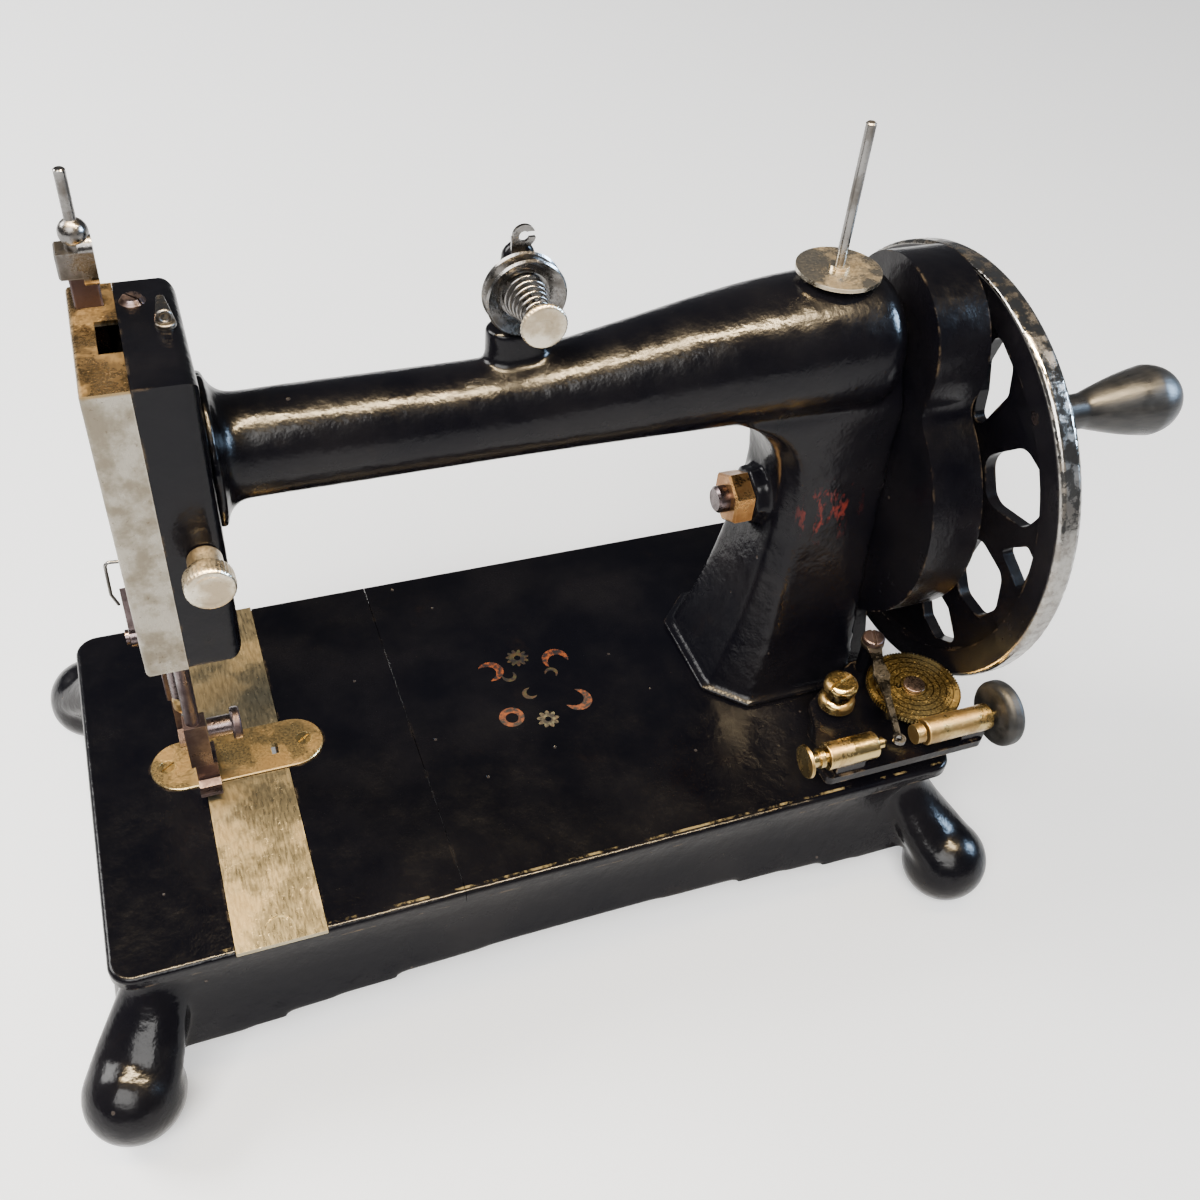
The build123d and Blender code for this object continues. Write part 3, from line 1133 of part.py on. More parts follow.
with BuildPart() as shuttle:
    with BuildSketch(level(shuttle_x, arm_y, lever_high + 0.01)):
        with BuildLine():
            ThreePointArc((3.9, -21), (4.6, 0), (3.9, 17))
            Line((3.9, 17), (-4.2, 21))
            ThreePointArc((-4.2, 21), (-4.9, 0), (-4.2, -21))
            Line((-4.2, -21), (3.9, -21))
        make_face()
    extrude(amount=13)
    fillet(shuttle.edges().filter_by(Axis.Z), 0.8)
    with BuildSketch(level(shuttle_x, arm_y - 1, lever_high + 13.1)):
        SlotOverall(30, 6.4, rotation=90)
    extrude(amount=-10, mode=Mode.SUBTRACT)
write(shuttle.part, "shuttle")

with BuildPart() as shuttle_bobbin:
    with Locations(Location((shuttle_x, arm_y - 1, lever_high + 6.6), (90, 0, 0))):
        Cylinder(1.2, 27)
        with Locations((0, 0, 12), (0, 0, -12)):
            Cylinder(2.9, 1.2)
write(shuttle_bobbin.part, "shuttle_bobbin")

race_x = bed_left + 60.5
with BuildPart() as shuttle_race:
    with Locations((race_x, arm_y, lever_high + 1)):
        Box(3.0, 120, skirt_top - lever_high - 1, align=(Align.CENTER, Align.CENTER, Align.MIN))
    with Locations((race_x + 6, arm_y, skirt_top)):
        Box(14, 120, 3, align=(Align.CENTER, Align.CENTER, Align.MAX))
write(shuttle_race.part, "shuttle_race")
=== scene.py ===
# %% [markdown]
# # A hand-crank sewing machine
# The imported model is the fixed frame: every iron, steel and brass part already stands in its place, in
# metres. This lesson dresses it. It sets up the view and the light, makes the finishes, and then makes the
# few pieces whose real surface is softer or finer than the frame's own: castings that flow into each other,
# knurled knobs, the turned grip and painted flowers. The frame's box is kept and printed in millimetres.

# %% load the frame and keep its box
import json
import math

import bmesh
import bpy
import numpy as np
from mathutils import Matrix, Vector


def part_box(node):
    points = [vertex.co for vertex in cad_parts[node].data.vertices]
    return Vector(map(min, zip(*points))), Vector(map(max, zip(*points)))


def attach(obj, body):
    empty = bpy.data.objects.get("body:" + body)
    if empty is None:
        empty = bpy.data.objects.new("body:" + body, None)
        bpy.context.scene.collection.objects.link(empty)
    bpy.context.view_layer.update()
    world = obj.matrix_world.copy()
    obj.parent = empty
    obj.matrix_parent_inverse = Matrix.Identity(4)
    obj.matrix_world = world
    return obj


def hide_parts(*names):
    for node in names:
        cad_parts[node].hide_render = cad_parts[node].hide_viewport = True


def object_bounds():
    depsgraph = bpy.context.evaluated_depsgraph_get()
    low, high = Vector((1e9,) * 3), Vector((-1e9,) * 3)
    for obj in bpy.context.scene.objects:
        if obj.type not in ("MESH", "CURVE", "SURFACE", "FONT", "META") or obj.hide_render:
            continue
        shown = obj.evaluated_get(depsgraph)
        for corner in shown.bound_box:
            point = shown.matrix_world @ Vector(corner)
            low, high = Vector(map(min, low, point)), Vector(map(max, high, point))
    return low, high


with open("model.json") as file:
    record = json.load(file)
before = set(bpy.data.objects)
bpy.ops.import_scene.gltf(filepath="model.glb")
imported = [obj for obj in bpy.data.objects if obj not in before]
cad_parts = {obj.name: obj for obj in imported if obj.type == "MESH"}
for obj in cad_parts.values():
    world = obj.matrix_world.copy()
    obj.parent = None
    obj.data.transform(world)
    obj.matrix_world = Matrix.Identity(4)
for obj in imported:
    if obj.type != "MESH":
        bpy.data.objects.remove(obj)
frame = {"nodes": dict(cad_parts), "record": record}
cad_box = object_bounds()
nodes = frame["nodes"]
slot_of = {part["node"]: part["material_slot"] for part in frame["record"]["subparts"]}
body_of_node = {n: body for body, names in frame["record"]["behaviour"]["bodies"].items() for n in names}
print("frame box in mm", [[round(c * 1000) for c in corner] for corner in cad_box])

# %% [markdown]
# ## The view
# The camera stands high in front of the needle end and looks down over the bed, so that the arm crosses
# the view. It is given by where it stands, where it looks and which way is up, and a matrix is built
# from those three. Aiming it with a constraint would also work, but a matrix says exactly what it is.

# %% camera
camera_place = Vector((-0.1576, -0.3742, 0.5091))
camera_forward = Vector((0.302, 0.668, -0.680)).normalized()
camera_up_hint = Vector((0.185, 0.659, 0.729))
camera_right = camera_forward.cross(camera_up_hint).normalized()
camera_up = camera_right.cross(camera_forward).normalized()

camera_data = bpy.data.cameras.new("camera")
camera_data.lens = 37.7
camera_data.sensor_width = 36.0
camera_data.clip_start = 0.01
camera = bpy.data.objects.new("camera", camera_data)
bpy.context.scene.collection.objects.link(camera)
turn = Matrix((camera_right, camera_up, -camera_forward)).transposed()
camera.matrix_world = Matrix.Translation(camera_place) @ turn.to_4x4()
bpy.context.scene.camera = camera
print("camera turned so that up is", [round(c, 3) for c in camera_up])

# %% [markdown]
# ## Floor and light
# A glossy black machine shows its shape only by what it reflects. A long narrow lamp over the arm draws its
# warm streak, a cool one at the right stands for a window, and two wide ones light the pale floor. Those two
# stand where the level bed doesn't mirror them into the camera, and the world is dim, so black stays black.

# %% floor, lamps and world
def soft_lamp(name, place, target, size, power, tint):
    """A rectangular soft lamp of size (across, along) metres that shines from place at target."""
    data = bpy.data.lights.new(name, "AREA")
    data.shape = "RECTANGLE"
    data.size, data.size_y = size
    data.energy = power
    data.color = tint
    lamp = bpy.data.objects.new(name, data)
    lamp.location = place
    lamp.rotation_euler = (Vector(target) - Vector(place)).to_track_quat("-Z", "Y").to_euler()
    bpy.context.scene.collection.objects.link(lamp)
    return lamp


middle = (cad_box[0] + cad_box[1]) / 2
soft_lamp("key_lamp", (-0.9, -1.5, 2.1), (0, 0, 0), (1.8, 1.4), 150, (1.0, 0.985, 0.96))
soft_lamp("back_lamp", (-1.9, 1.2, 1.7), (-0.1, 0.5, 0), (1.2, 1.2), 120, (1.0, 0.99, 0.97))
streak = soft_lamp("streak_lamp", (-0.05, -0.14, 1.15), middle, (1.1, 0.06), 150, (1.0, 0.76, 0.44))
window = soft_lamp("window_lamp", (1.25, -0.35, 0.8), middle, (0.35, 0.5), 60, (0.48, 0.70, 1.0))
# these two are only there to be mirrored, so they add no soft light of their own
streak.visible_diffuse = False
window.visible_diffuse = False

world = bpy.data.worlds.new("dim_room")
bpy.context.scene.world = world
world.use_nodes = True
world.node_tree.nodes["Background"].inputs["Color"].default_value = (0.9, 0.93, 1.0, 1)
world.node_tree.nodes["Background"].inputs["Strength"].default_value = 0.20

floor_reach = 4.0
floor_mesh = bpy.data.meshes.new("floor")
floor_mesh.from_pydata([(x, y, 0.0) for x, y in ((-1, -1), (1, -1), (1, 1), (-1, 1))], [], [(0, 1, 2, 3)])
floor_mesh.transform(Matrix.Scale(floor_reach, 4))
floor = bpy.data.objects.new("floor", floor_mesh)
bpy.context.scene.collection.objects.link(floor)
print("lamps and a floor of", 2 * floor_reach, "metres")

# %% [markdown]
# ## Building finishes from nodes
# Every finish here is worked out from object coordinates, which are the frame's own metres. A small set
# of helpers keeps each finish short: one adds a noise, one maps a value to a range, one mixes two colours.
# Worn edges need to know where an edge is. The Bevel node answers that: where its rounded normal differs
# from the true normal, an edge is near. It needs no clean mesh, which suits a model of loose triangles.

# %% node helpers
class Finish:
    """One node material, with short calls for the nodes that the finishes share."""

    def __init__(self, name):
        self.material = bpy.data.materials.new(name)
        self.material.use_nodes = True
        self.tree = self.material.node_tree
        self.shader = self.tree.nodes["Principled BSDF"]
        self.place = self.tree.nodes.new("ShaderNodeTexCoord").outputs["Object"]

    def link(self, value, socket):
        """Feed a socket with a link or with a plain value."""
        if isinstance(value, bpy.types.NodeSocket):
            self.tree.links.new(value, socket)
        else:
            socket.default_value = value

    def noise(self, size, detail=4.0, rough=0.55, stretch=(1, 1, 1)):
        """Cloudy noise whose blobs are about size metres across; stretch draws them out along an axis."""
        mapping = self.tree.nodes.new("ShaderNodeMapping")
        mapping.inputs["Scale"].default_value = [1 / s for s in stretch]
        self.tree.links.new(self.place, mapping.inputs["Vector"])
        node = self.tree.nodes.new("ShaderNodeTexNoise")
        node.inputs["Scale"].default_value = 1 / size
        node.inputs["Detail"].default_value = detail
        node.inputs["Roughness"].default_value = rough
        self.tree.links.new(mapping.outputs["Vector"], node.inputs["Vector"])
        return node.outputs["Fac"]

    def spots(self, spacing):
        """Distance from scattered points that lie about spacing metres apart, in units of the spacing."""
        node = self.tree.nodes.new("ShaderNodeTexVoronoi")
        node.inputs["Scale"].default_value = 1 / spacing
        self.tree.links.new(self.place, node.inputs["Vector"])
        return node.outputs["Distance"]

    def span(self, value, low, high, to_low=0.0, to_high=1.0):
        """Map low..high smoothly to to_low..to_high, clamped at both ends."""
        node = self.tree.nodes.new("ShaderNodeMapRange")
        node.interpolation_type = "SMOOTHSTEP"
        for key, number in (("From Min", low), ("From Max", high), ("To Min", to_low), ("To Max", to_high)):
            node.inputs[key].default_value = number
        self.tree.links.new(value, node.inputs["Value"])
        return node.outputs["Result"]

    def math(self, kind, a, b=0.0):
        """One arithmetic step on two values."""
        node = self.tree.nodes.new("ShaderNodeMath")
        node.operation = kind
        self.link(a, node.inputs[0])
        self.link(b, node.inputs[1])
        return node.outputs["Value"]

    def mix(self, amount, first, second):
        """The first colour where amount is 0, the second where it is 1."""
        node = self.tree.nodes.new("ShaderNodeMix")
        node.data_type = "RGBA"
        self.link(amount, node.inputs["Factor"])
        self.link(first if isinstance(first, bpy.types.NodeSocket) else (*first, 1), node.inputs["A"])
        self.link(second if isinstance(second, bpy.types.NodeSocket) else (*second, 1), node.inputs["B"])
        return node.outputs["Result"]

    def axis(self, letter):
        """One object coordinate, in metres."""
        node = self.tree.nodes.new("ShaderNodeSeparateXYZ")
        self.tree.links.new(self.place, node.inputs["Vector"])
        return node.outputs[letter]

    def away(self, first, first_at, second, second_at):
        """Distance from a line: the root of the two squared offsets along two axes."""
        a = self.math("POWER", self.math("SUBTRACT", self.axis(first), first_at), 2)
        b = self.math("POWER", self.math("SUBTRACT", self.axis(second), second_at), 2)
        return self.math("SQRT", self.math("ADD", a, b))

    def edges(self, reach):
        """0 on flat ground and towards 1 within reach metres of a sharp edge."""
        bevel = self.tree.nodes.new("ShaderNodeBevel")
        bevel.samples = 4
        bevel.inputs["Radius"].default_value = reach
        true = self.tree.nodes.new("ShaderNodeNewGeometry")
        dot = self.tree.nodes.new("ShaderNodeVectorMath")
        dot.operation = "DOT_PRODUCT"
        self.tree.links.new(bevel.outputs["Normal"], dot.inputs[0])
        self.tree.links.new(true.outputs["Normal"], dot.inputs[1])
        flat, sharp = 0.995, 0.86
        return self.span(dot.outputs["Value"], flat, sharp)

    def relief(self, height, depth, strength=1.0):
        """Bump from a height of 0..1 that stands for depth metres."""
        node = self.tree.nodes.new("ShaderNodeBump")
        node.inputs["Distance"].default_value = depth
        node.inputs["Strength"].default_value = strength
        self.tree.links.new(height, node.inputs["Height"])
        self.tree.links.new(node.outputs["Normal"], self.shader.inputs["Normal"])

    def set(self, **sockets):
        """Set or link the shader's sockets; an underscore stands for a space."""
        for key, value in sockets.items():
            socket = self.shader.inputs[key.replace("_", " ")]
            if isinstance(value, tuple) and len(value) == 3:
                value = (*value, 1)
            self.link(value, socket)


finishes = {}


def finished(name):
    """Start a finish and remember it by its name, which is a slot's or one of its own."""
    finishes[name] = Finish(name)
    return finishes[name]


# %% [markdown]
# ## Japanned iron
# The castings are dipped in black asphalt varnish and baked. The coat is deep and glossy, a little lumpy
# like the sand-cast iron below, and a century of hands has rubbed it thin: brown in clouds, dull gold at
# the sharpest edges, with small chips on the flats. A black base, gloss that varies, and an edge mask that
# a coarse noise breaks up, give all of it in one material. The varnish mirrors less than glass does, so its
# specular level is low: the pale floor would otherwise turn the black sides grey.

# %% japanned iron
def japan(look, wear=1.0, kept=1.0):
    """The black varnish's colour, gloss and relief. Kept is 0 where an edge hasn't worn, and 1 elsewhere."""
    cloud = look.noise(0.05, 5)
    black = look.mix(look.span(cloud, 0.35, 0.7), (0.0022, 0.0021, 0.0034), (0.0062, 0.0054, 0.0062))
    edge_reach = 0.0016
    edge = look.math("MULTIPLY", look.edges(edge_reach), kept)
    patchy = look.span(look.noise(0.011, 6, 0.7), 0.50, 0.68)
    worn = look.math("MULTIPLY", look.math("MULTIPLY", edge, patchy), wear)
    rubbed = look.span(look.noise(0.035, 6, 0.65), 0.60, 0.78, 0.0, 0.35)
    brown = look.mix(rubbed, black, (0.018, 0.010, 0.006))
    golden = look.mix(look.noise(0.004, 3), (0.070, 0.042, 0.024), (0.17, 0.115, 0.055))
    varnish = look.mix(worn, brown, golden)
    chip_spacing = 0.016
    chip = look.span(look.spots(chip_spacing), 0.055, 0.04)
    few = look.span(look.noise(0.03, 2), 0.50, 0.56)
    chips = look.math("MULTIPLY", chip, few)
    colour = look.mix(chips, varnish, (0.040, 0.031, 0.026))
    dull = look.span(look.noise(0.022, 7, 0.7), 0.3, 0.75, 0.14, 0.30)
    gloss = look.math("ADD", dull, look.math("MULTIPLY", worn, 0.25))
    lumps = look.math("ADD", look.noise(0.009, 3), look.math("MULTIPLY", look.noise(0.0012, 2), 0.12))
    height = look.math("SUBTRACT", lumps, look.math("MULTIPLY", chips, 0.5))
    return colour, gloss, height


VARNISH = {"IOR": 1.4, "Specular_IOR_Level": 0.17}
look = finished("japanned_iron")
colour, gloss, height = japan(look)
look.set(Base_Color=colour, Roughness=gloss, **VARNISH)
look.relief(height, 0.0007, 0.6)
print("japanned iron has", len(look.tree.nodes), "nodes")

# %% [markdown]
# ## Bare and darkened steel
# Bare steel on an old machine isn't grey paint: it is a mirror that has gone blotchy. Stains of oil and
# rust take the polish in clouds, and hands keep the corners bright. So the metal's colour moves between a
# clean tone and a stained one, and the roughness follows the same clouds. The winder's cam is the cleanest
# brass, with shallow rings turned into its face. They have no relief here: their shade is painted as dark
# rings in the colour, which a cosine of the distance from its middle draws.

# %% one recipe for aged metal
def aged_metal(name, clean, stained, deep, smooth, dull, cloud=0.018, grain=(1, 1, 1), stain_at=(0.40, 0.62)):
    """Metal between a clean tone and a stained tone, with deep spots, scratches and brighter edges."""
    look = finished(name)
    clouds = look.span(look.noise(cloud, 6, 0.62), *stain_at)
    tone = look.mix(clouds, clean, stained)
    speck = look.span(look.noise(0.0022, 5, 0.75), 0.60, 0.72)
    tone = look.mix(look.math("MULTIPLY", speck, 0.7), tone, deep)
    bright = tuple(min(1, c * 1.5) for c in clean)
    tone = look.mix(look.math("MULTIPLY", look.edges(0.0008), 0.55), tone, bright)
    fine = look.noise(0.0010, 4, 0.6, grain)
    rough = look.math("ADD", look.span(clouds, 0, 1, smooth, dull), look.math("MULTIPLY", speck, 0.15))
    rough = look.math("ADD", rough, look.span(fine, 0.3, 0.7, -0.05, 0.06))
    look.set(Base_Color=tone, Roughness=rough, Metallic=1.0)
    look.relief(look.math("ADD", fine, look.math("MULTIPLY", speck, -0.6)), 0.00012, 0.5)
    return look, tone


aged_metal("bright_steel", (0.36, 0.325, 0.26), (0.215, 0.175, 0.115), (0.09, 0.06, 0.035), 0.27, 0.46,
           grain=(1, 1, 6))
aged_metal("polished_steel", (0.15, 0.145, 0.14), (0.060, 0.055, 0.050), (0.02, 0.017, 0.015), 0.18, 0.38)
aged_metal("dark_steel", (0.105, 0.082, 0.082), (0.045, 0.032, 0.033), (0.02, 0.014, 0.012), 0.26, 0.5)
aged_metal("gear_iron", (0.16, 0.145, 0.13), (0.07, 0.058, 0.048), (0.02, 0.015, 0.012), 0.3, 0.5)
aged_metal("spring_steel", (0.16, 0.155, 0.15), (0.075, 0.07, 0.065), (0.03, 0.025, 0.022), 0.2, 0.4)
aged_metal("needle_steel", (0.70, 0.69, 0.67), (0.5, 0.48, 0.45), (0.2, 0.17, 0.14), 0.12, 0.25)
aged_metal("nickel", (0.50, 0.45, 0.36), (0.27, 0.22, 0.15), (0.08, 0.06, 0.04), 0.2, 0.42)
aged_metal("old_brass", (0.42, 0.31, 0.13), (0.21, 0.135, 0.052), (0.06, 0.036, 0.018), 0.2, 0.40)
cam_low, cam_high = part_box("cam_disc")
cam_middle = (cam_low + cam_high) / 2
groove_pitch = 0.0030
look, tone = aged_metal("cam_brass", (0.56, 0.42, 0.17), (0.40, 0.28, 0.10), (0.16, 0.10, 0.04), 0.2, 0.36,
                        stain_at=(0.48, 0.70))
from_cam = look.away("X", cam_middle.x, "Y", cam_middle.y)
waves = look.math("COSINE", look.math("MULTIPLY", from_cam, 2 * math.pi / groove_pitch))
# painted shade: the turned grooves have no relief, so the shade in them is drawn as dark rings in the colour
painted_groove_shade = look.span(waves, 0.70, 0.92)
look.set(Base_Color=look.mix(look.math("MULTIPLY", painted_groove_shade, 0.8), tone, (0.055, 0.034, 0.014)))
aged_metal("nut_bronze", (0.42, 0.23, 0.085), (0.24, 0.115, 0.040), (0.07, 0.036, 0.018), 0.24, 0.42)
print("finishes so far:", sorted(finishes))

# %% [markdown]
# ## Wood and rubber
# The grip is turned wood stained black and rubbed to a low sheen, with its grain along the handle. The
# winder's driving wheel is hard rubber: almost black, matt, and greyer where the years have bleached it.

# %% grip wood and rubber
look = finished("grip_wood")
grain = look.noise(0.0022, 5, 0.6, (9, 1, 1))
look.set(Base_Color=look.mix(look.span(grain, 0.35, 0.7), (0.008, 0.008, 0.008), (0.020, 0.0185, 0.017)),
         Roughness=look.span(look.noise(0.012, 5), 0.3, 0.7, 0.26, 0.42), Specular_IOR_Level=0.3)
look.relief(grain, 0.00025, 0.5)

look = finished("rubber")
bleach = look.noise(0.008, 6, 0.65)
look.set(Base_Color=look.mix(look.span(bleach, 0.4, 0.75), (0.006, 0.006, 0.006), (0.024, 0.022, 0.020)),
         Roughness=look.span(bleach, 0.3, 0.7, 0.42, 0.62), Specular_IOR_Level=0.25)
look.relief(look.noise(0.0009, 3), 0.0002, 0.5)

# %% [markdown]
# ## The handwheel's two faces
# The wheel is one casting: its web and inner rim are black, and only the outer face of the rim is turned
# and polished. The turned part is where the distance from the axle is nearly the wheel's own radius, so
# one mask from the distance splits black varnish from mottled steel.

# %% wheel iron
wheel_low, wheel_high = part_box("handwheel")
wheel_middle = (wheel_low + wheel_high) / 2
wheel_reach = (wheel_high.z - wheel_low.z) / 2
look = finished("wheel_iron")
colour, gloss, height = japan(look, 0.7)
distance = look.away("Y", wheel_middle.y, "Z", wheel_middle.z)
rim_depth, rim_blur = 0.0021, 0.0007
turned = look.span(distance, wheel_reach - rim_depth, wheel_reach - rim_depth + rim_blur)
blotch = look.span(look.noise(0.006, 6, 0.7), 0.38, 0.66)
steel = look.mix(blotch, (0.27, 0.26, 0.24), (0.155, 0.142, 0.128))
shift = look.math("MULTIPLY", turned, look.span(blotch, 0, 1, -0.12, 0.12))
look.set(Base_Color=look.mix(turned, colour, steel), Metallic=turned, Specular_IOR_Level=0.17,
         Roughness=look.math("ADD", shift, gloss))
look.relief(height, 0.0005, 0.5)
print("wheel radius in mm", round(wheel_reach * 1000, 1))

# %% [markdown]
# ## Floor finish
# The floor is only a pale ground: an off-white with a very faint cloudiness. A little glow of its own lifts
# it to a clean white without more lamps, which would wash out the black castings.

# %% pale floor
look = Finish("pale_floor")
look.set(Base_Color=look.mix(look.noise(0.4, 3), (0.97, 0.97, 0.97), (0.94, 0.94, 0.935)), Roughness=0.7,
         Emission_Color=(1, 1, 1), Emission_Strength=0.35)
floor.data.materials.append(look.material)

# %% [markdown]
# ## Parts that differ from their kind
# The needle end's plate is bare steel in front, but its top has gone bronze under a film of old oil. The two
# slides have a yellower, browner cast than the plate. The bed has lost more varnish than the rest, and its
# front edge keeps a broken thread of gold from a painted line. Each is its own finish in the same slot.

# %% face plate, slides, needle plate and bed
face_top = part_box("face_plate")[1].z
look, tone = aged_metal("face_plate_steel", (0.24, 0.222, 0.185), (0.145, 0.126, 0.095),
                        (0.07, 0.052, 0.035), 0.26, 0.44, cloud=0.014, grain=(1, 1, 6))
oil_depth, oil_full = 0.0016, 0.0006
oily = look.span(look.axis("Z"), face_top - oil_depth, face_top - oil_full)
bronze = look.mix(look.noise(0.006, 5), (0.13, 0.085, 0.035), (0.235, 0.165, 0.085))
look.set(Base_Color=look.mix(oily, tone, bronze))

aged_metal("slide_steel", (0.27, 0.235, 0.155), (0.185, 0.147, 0.085), (0.13, 0.098, 0.058), 0.30, 0.46,
           cloud=0.026, grain=(1, 6, 1))
aged_metal("plate_brass", (0.37, 0.275, 0.130), (0.25, 0.165, 0.070), (0.10, 0.062, 0.032), 0.28, 0.44)

bed_low, bed_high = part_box("bed_plate")
left_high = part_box("shuttle_bed_plate")[1]
look = finished("bed_japan")
# the two halves of the bed meet in a fine seam, whose edges are hardly worn
seam_reach = 0.0025
from_seam = look.math("ABSOLUTE", look.math("SUBTRACT", look.axis("X"), bed_low.x))
colour, gloss, height = japan(look, 1.0, look.span(from_seam, seam_reach, seam_reach * 1.4, 0.15, 1.0))
line_reach = 0.0007
line_inset = 0.0030
from_line = look.math("ABSOLUTE", look.math("SUBTRACT", look.axis("Y"), bed_low.y + line_inset))
line = look.span(from_line, line_reach, line_reach * 0.6)
broken = look.span(look.noise(0.02, 7, 0.75), 0.50, 0.60)
gold_line = look.math("MULTIPLY", line, broken)
look.set(Base_Color=look.mix(gold_line, colour, (0.36, 0.25, 0.10)), Roughness=gloss, **VARNISH)
look.relief(height, 0.0008, 0.6)

# %% [markdown]
# ## The faded mark on the pillar
# The pillar's front once carried a second transfer. Only a rubbed red trace of it is left: a few short
# strokes. It is part of the arm's own varnish, held to a small ball of space at the pillar's front face, so
# it follows the casting's curve without a piece of its own.

# %% arm varnish with a red trace
look = finished("arm_japan")
colour, gloss, height = japan(look)
trace_x, trace_z, trace_reach = 0.106, 0.175, 0.019
stroke = look.span(look.noise(0.0060, 6, 0.75, (1, 1, 2.6)), 0.52, 0.60)
near = look.span(look.away("X", trace_x, "Z", trace_z), trace_reach, trace_reach * 0.4)
front_from, front_full = -0.012, -0.016
front = look.span(look.axis("Y"), front_from, front_full)
red = look.math("MULTIPLY", look.math("MULTIPLY", stroke, near), front)
look.set(Base_Color=look.mix(look.math("MULTIPLY", red, 0.7), colour, (0.14, 0.018, 0.012)), Roughness=gloss,
         **VARNISH)
look.relief(height, 0.0007, 0.6)

# %% [markdown]
# ## Putting the finishes on
# Each node of the frame knows its slot from the record, so one loop dresses them all.

# %% dress the frame
own_finish = {"face_plate": "face_plate_steel", "front_slide": "slide_steel", "back_slide": "slide_steel",
              "needle_plate": "plate_brass", "cam_disc": "cam_brass", "stud_nut": "nut_bronze",
              "spool_pin": "spring_steel", "arm_casting": "arm_japan",
              "bed_plate": "bed_japan", "shuttle_bed_plate": "bed_japan"}
for name, node in nodes.items():
    node.data.materials.clear()
    node.data.materials.append(finishes[own_finish.get(name, slot_of[name])].material)
print("dressed", len(nodes), "nodes")

# %% [markdown]
# ## Castings that flow into each other
# On the real machine the ball feet grow out of the base's corners, and the arm grows out of the pillar: sand
# casting leaves no sharp inner corner. The frame joins those shapes with plain edges. A voxel skin laid over
# a copy of the casting, and then smoothed, gives every inner corner the soft fillet of the foundry. A grid
# of two parameters couldn't follow a shape with such branches, so here the remesher does the work.

# %% soften a casting
def add_piece(name, mesh, node, finish=None, stands_for=True):
    """Put a finished mesh into the scene in place of a node, on that node's body and slot."""
    piece = bpy.data.objects.new(name, mesh)
    bpy.context.scene.collection.objects.link(piece)
    mesh.materials.clear()
    mesh.materials.append(finishes[finish or slot_of[node]].material)
    mesh.polygons.foreach_set("use_smooth", [True] * len(mesh.polygons))
    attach(piece, body_of_node[node])
    if stands_for:
        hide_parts(node)
    return piece


def softened(node, voxel, rounds):
    """A copy of a node's mesh, merged, wrapped in a skin of voxels and smoothed a number of rounds."""
    mesh = nodes[node].data.copy()
    work = bmesh.new()
    work.from_mesh(mesh)
    bmesh.ops.remove_doubles(work, verts=work.verts, dist=1e-6)
    work.to_mesh(mesh)
    work.free()
    holder = bpy.data.objects.new("holder", mesh)
    bpy.context.scene.collection.objects.link(holder)
    wrap = holder.modifiers.new("wrap", "REMESH")
    wrap.mode = "VOXEL"
    wrap.voxel_size = voxel
    ease = holder.modifiers.new("ease", "SMOOTH")
    ease.factor = 0.5
    ease.iterations = rounds
    seen = holder.evaluated_get(bpy.context.evaluated_depsgraph_get())
    made = bpy.data.meshes.new_from_object(seen)
    bpy.data.objects.remove(holder)
    return made


base_voxel, base_rounds = 0.0016, 14
arm_voxel, arm_rounds = 0.0015, 10
base = add_piece("soft_base", softened("base_casting", base_voxel, base_rounds), "base_casting")
arm = add_piece("soft_arm", softened("arm_casting", arm_voxel, arm_rounds), "arm_casting", "arm_japan")
for piece in (base, arm):
    print(piece.name, "faces", len(piece.data.polygons))

# %% [markdown]
# ## Round pieces from a profile
# A turned piece is one profile carried round an axis, which is a surface of two parameters: how far along
# the profile, and how far round. A knurl is a small ripple of the radius with the angle, and only part of
# the profile has it. Rings of points, joined ring to ring, make the mesh.

# %% rings to a mesh, and a lathe
def ring_mesh(name, rings):
    """Join rings of points, an array of (rings, points, 3), into a closed tube with a fan at each end."""
    count, around = rings.shape[:2]
    ids = np.arange(count * around).reshape(count, around)
    after = np.roll(ids, -1, axis=1)
    sides = np.stack([ids[:-1], after[:-1], after[1:], ids[1:]], axis=-1).reshape(-1, 4)
    first, last = count * around, count * around + 1
    low_fan = np.stack([np.full(around, first), after[0], ids[0]], axis=-1)
    high_fan = np.stack([np.full(around, last), ids[-1], after[-1]], axis=-1)
    points = np.vstack([rings.reshape(-1, 3), rings[0].mean(0), rings[-1].mean(0)])
    mesh = bpy.data.meshes.new(name)
    mesh.from_pydata(points.tolist(), [], sides.tolist() + low_fan.tolist() + high_fan.tolist())
    work = bmesh.new()
    work.from_mesh(mesh)
    bmesh.ops.recalc_face_normals(work, faces=work.faces)
    work.to_mesh(mesh)
    work.free()
    return mesh


def rounded(profile, steps=5, share=0.3):
    """Ease a profile: every corner becomes a quadratic arc between points on its two edges."""
    profile = np.array(profile, float)
    before = profile[1:-1] + (profile[:-2] - profile[1:-1]) * share
    beyond = profile[1:-1] + (profile[2:] - profile[1:-1]) * share
    t = np.linspace(0, 1, steps)[None, :, None]
    arcs = (1 - t) ** 2 * before[:, None] + 2 * t * (1 - t) * profile[1:-1, None] + t ** 2 * beyond[:, None]
    return np.vstack([profile[:1], arcs.reshape(-1, 2), profile[-1:]])


